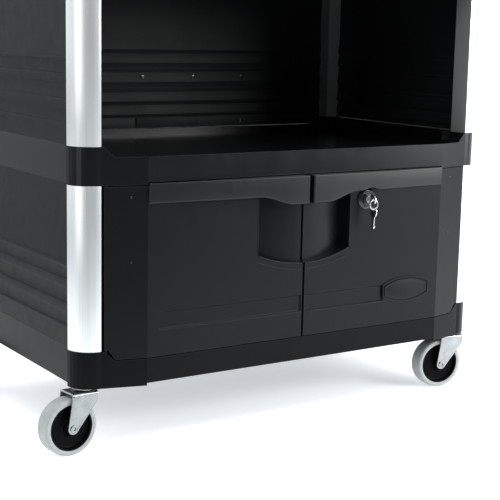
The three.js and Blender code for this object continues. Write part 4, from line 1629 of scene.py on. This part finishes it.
@dataclass(frozen=True)
class Studio:
    """Camera, floor, sky and soft lights."""

    eye: Colour = (-1236.45, -1729.6, 684.63)
    yaw: float = -33.306
    pitch: float = 10.187
    roll: float = -1.21
    lens: float = 89.13
    sensor: float = 36
    floor_reach: tuple[float, float] = (-7000, 9000)
    dim_sky: Colour = (0.16, 0.168, 0.174)
    bright_sky: Colour = (1.1, 1.13, 1.16)
    sky_rises: tuple[tuple[str, float, float], ...] = (("Y", 0.0, 0.5), ("Z", 0.25, 0.85))
    lamps: tuple[tuple[str, Colour, Colour, tuple[float, float], float], ...] = (
        ("right_softbox", (2.0, -1.55, 0.86), (0.2, -0.1, 0.86), (1.2, 1.2), 7),
        ("inner_softbox", (1.1, -1.7, 1.0), (-0.15, 0.24, 0.6), (0.7, 0.45), 21),
        ("front_softbox", (0.2, -1.5, 2.3), (0, -0.2, 0.4), (2.2, 0.7), 4),
        ("left_softbox", (-2.2, -0.6, 0.9), (-0.4, 0, 0.4), (1.2, 1.6), 1.9),
        ("overhead_softbox", (0.2, 0.7, 2.7), (0.1, 0.4, 0), (3.2, 2.0), 1.7),
    )

    def camera(self, bench: Bench) -> None:
        """Looks along the yaw and pitch, turned by the roll about the line of sight.

        Args:
            bench: gives the cart's origin.
        """
        yaw, pitch, roll = radians(-self.yaw), radians(self.pitch), radians(self.roll)
        ahead = np.array([sin(yaw) * cos(pitch), cos(yaw) * cos(pitch), -sin(pitch)])
        right = np.array([cos(yaw), -sin(yaw), 0])
        down = np.cross(ahead, right)
        across = cos(roll) * right + sin(roll) * down
        below = -sin(roll) * right + cos(roll) * down
        turn = Matrix(np.column_stack([across, -below, -ahead]).tolist()).to_4x4()
        data = bpy.data.cameras.new("view")
        data.lens, data.sensor_width = self.lens, self.sensor
        data.clip_end = 60
        camera = bpy.data.objects.new("view", data)
        place = Vector((np.array(self.eye) + bench.origin) * MM)
        camera.matrix_world = Matrix.Translation(place) @ turn
        bpy.context.scene.collection.objects.link(camera)
        bpy.context.scene.camera = camera

    def floor(self, bench: Bench) -> None:
        """A wide flat sheet of paper under the wheels.

        Args:
            bench: makes its mesh and material.
        """
        side = np.linspace(*self.floor_reach, 5)
        x, y = np.meshgrid(side, side, indexing="ij")
        shell = Shell.woven(np.stack([x, y, np.zeros_like(x)], -1), False, False, False)
        paper = bench.mesh("floor_paper", shell)
        paper.data.materials.append(bench.finish(StudioFloor()))

    def sky(self) -> None:
        """Soft surroundings: bright behind the cart and overhead, darker in front."""
        world = bpy.data.worlds.new("studio")
        world.use_nodes = True
        bpy.context.scene.world = world
        nodes, links = world.node_tree.nodes, world.node_tree.links
        split = nodes.new("ShaderNodeSeparateXYZ")
        links.new(nodes.new("ShaderNodeTexCoord").outputs["Generated"], split.inputs[0])
        shares = []
        for axis, low, high in self.sky_rises:
            share = nodes.new("ShaderNodeMapRange")
            share.interpolation_type = "SMOOTHSTEP"
            share.inputs["From Min"].default_value = low
            share.inputs["From Max"].default_value = high
            links.new(split.outputs[axis], share.inputs["Value"])
            shares.append(share.outputs["Result"])
        most = nodes.new("ShaderNodeMath")
        most.operation = "MAXIMUM"
        links.new(shares[0], most.inputs[0])
        links.new(shares[1], most.inputs[1])
        mix = nodes.new("ShaderNodeMix")
        mix.data_type = "RGBA"
        mix.inputs[6].default_value = (*self.dim_sky, 1)
        mix.inputs[7].default_value = (*self.bright_sky, 1)
        links.new(most.outputs[0], mix.inputs["Factor"])
        links.new(mix.outputs[2], nodes["Background"].inputs["Color"])

    def lamp(
        self, name: str, place: Colour, aim: Colour, size: tuple[float, float], glow: float
    ) -> None:
        """A soft box: power is pi times its area times its brightness.

        Args:
            name: of the lamp.
            place: where it stands, in metres.
            aim: what it points at, in metres.
            size: its two sides in metres.
            glow: its brightness.
        """
        data = bpy.data.lights.new(name, "AREA")
        data.shape, data.size, data.size_y = "RECTANGLE", *size
        data.energy = pi * size[0] * size[1] * glow
        lamp = bpy.data.objects.new(name, data)
        away = Vector(place) - Vector(aim)
        turn = away.to_track_quat("Z", "Y").to_matrix().to_4x4()
        lamp.matrix_world = Matrix.Translation(place) @ turn
        lamp.visible_camera = False
        bpy.context.scene.collection.objects.link(lamp)

    def build(self, bench: Bench) -> None:
        """Sets up the whole studio.

        Args:
            bench: gives the origin and makes the floor.
        """
        self.camera(bench)
        self.floor(bench)
        self.sky()
        for lamp in self.lamps:
            self.lamp(*lamp)
        settings = bpy.context.scene.view_settings
        settings.view_transform, settings.look = "Standard", "None"


def main() -> None:
    """Builds the studio and every sub-assembly in order."""
    logging.basicConfig(level=logging.INFO, format="%(name)s: %(message)s", stream=sys.stdout)
    bench = Bench()
    Studio().build(bench)
    corners = ("front_left", "front_right", "back_left", "back_right")
    assemblies = [
        Trays(bench),
        CornerPosts(bench),
        RibbedPanels(bench),
        Doors(bench),
        CabinetLock(bench),
        Keys(bench),
        *(Caster(bench, f"{corner}_caster") for corner in corners),
        PushHandle(bench),
    ]
    for assembly in assemblies:
        assembly.build()


if __name__ == "__main__":
    main()
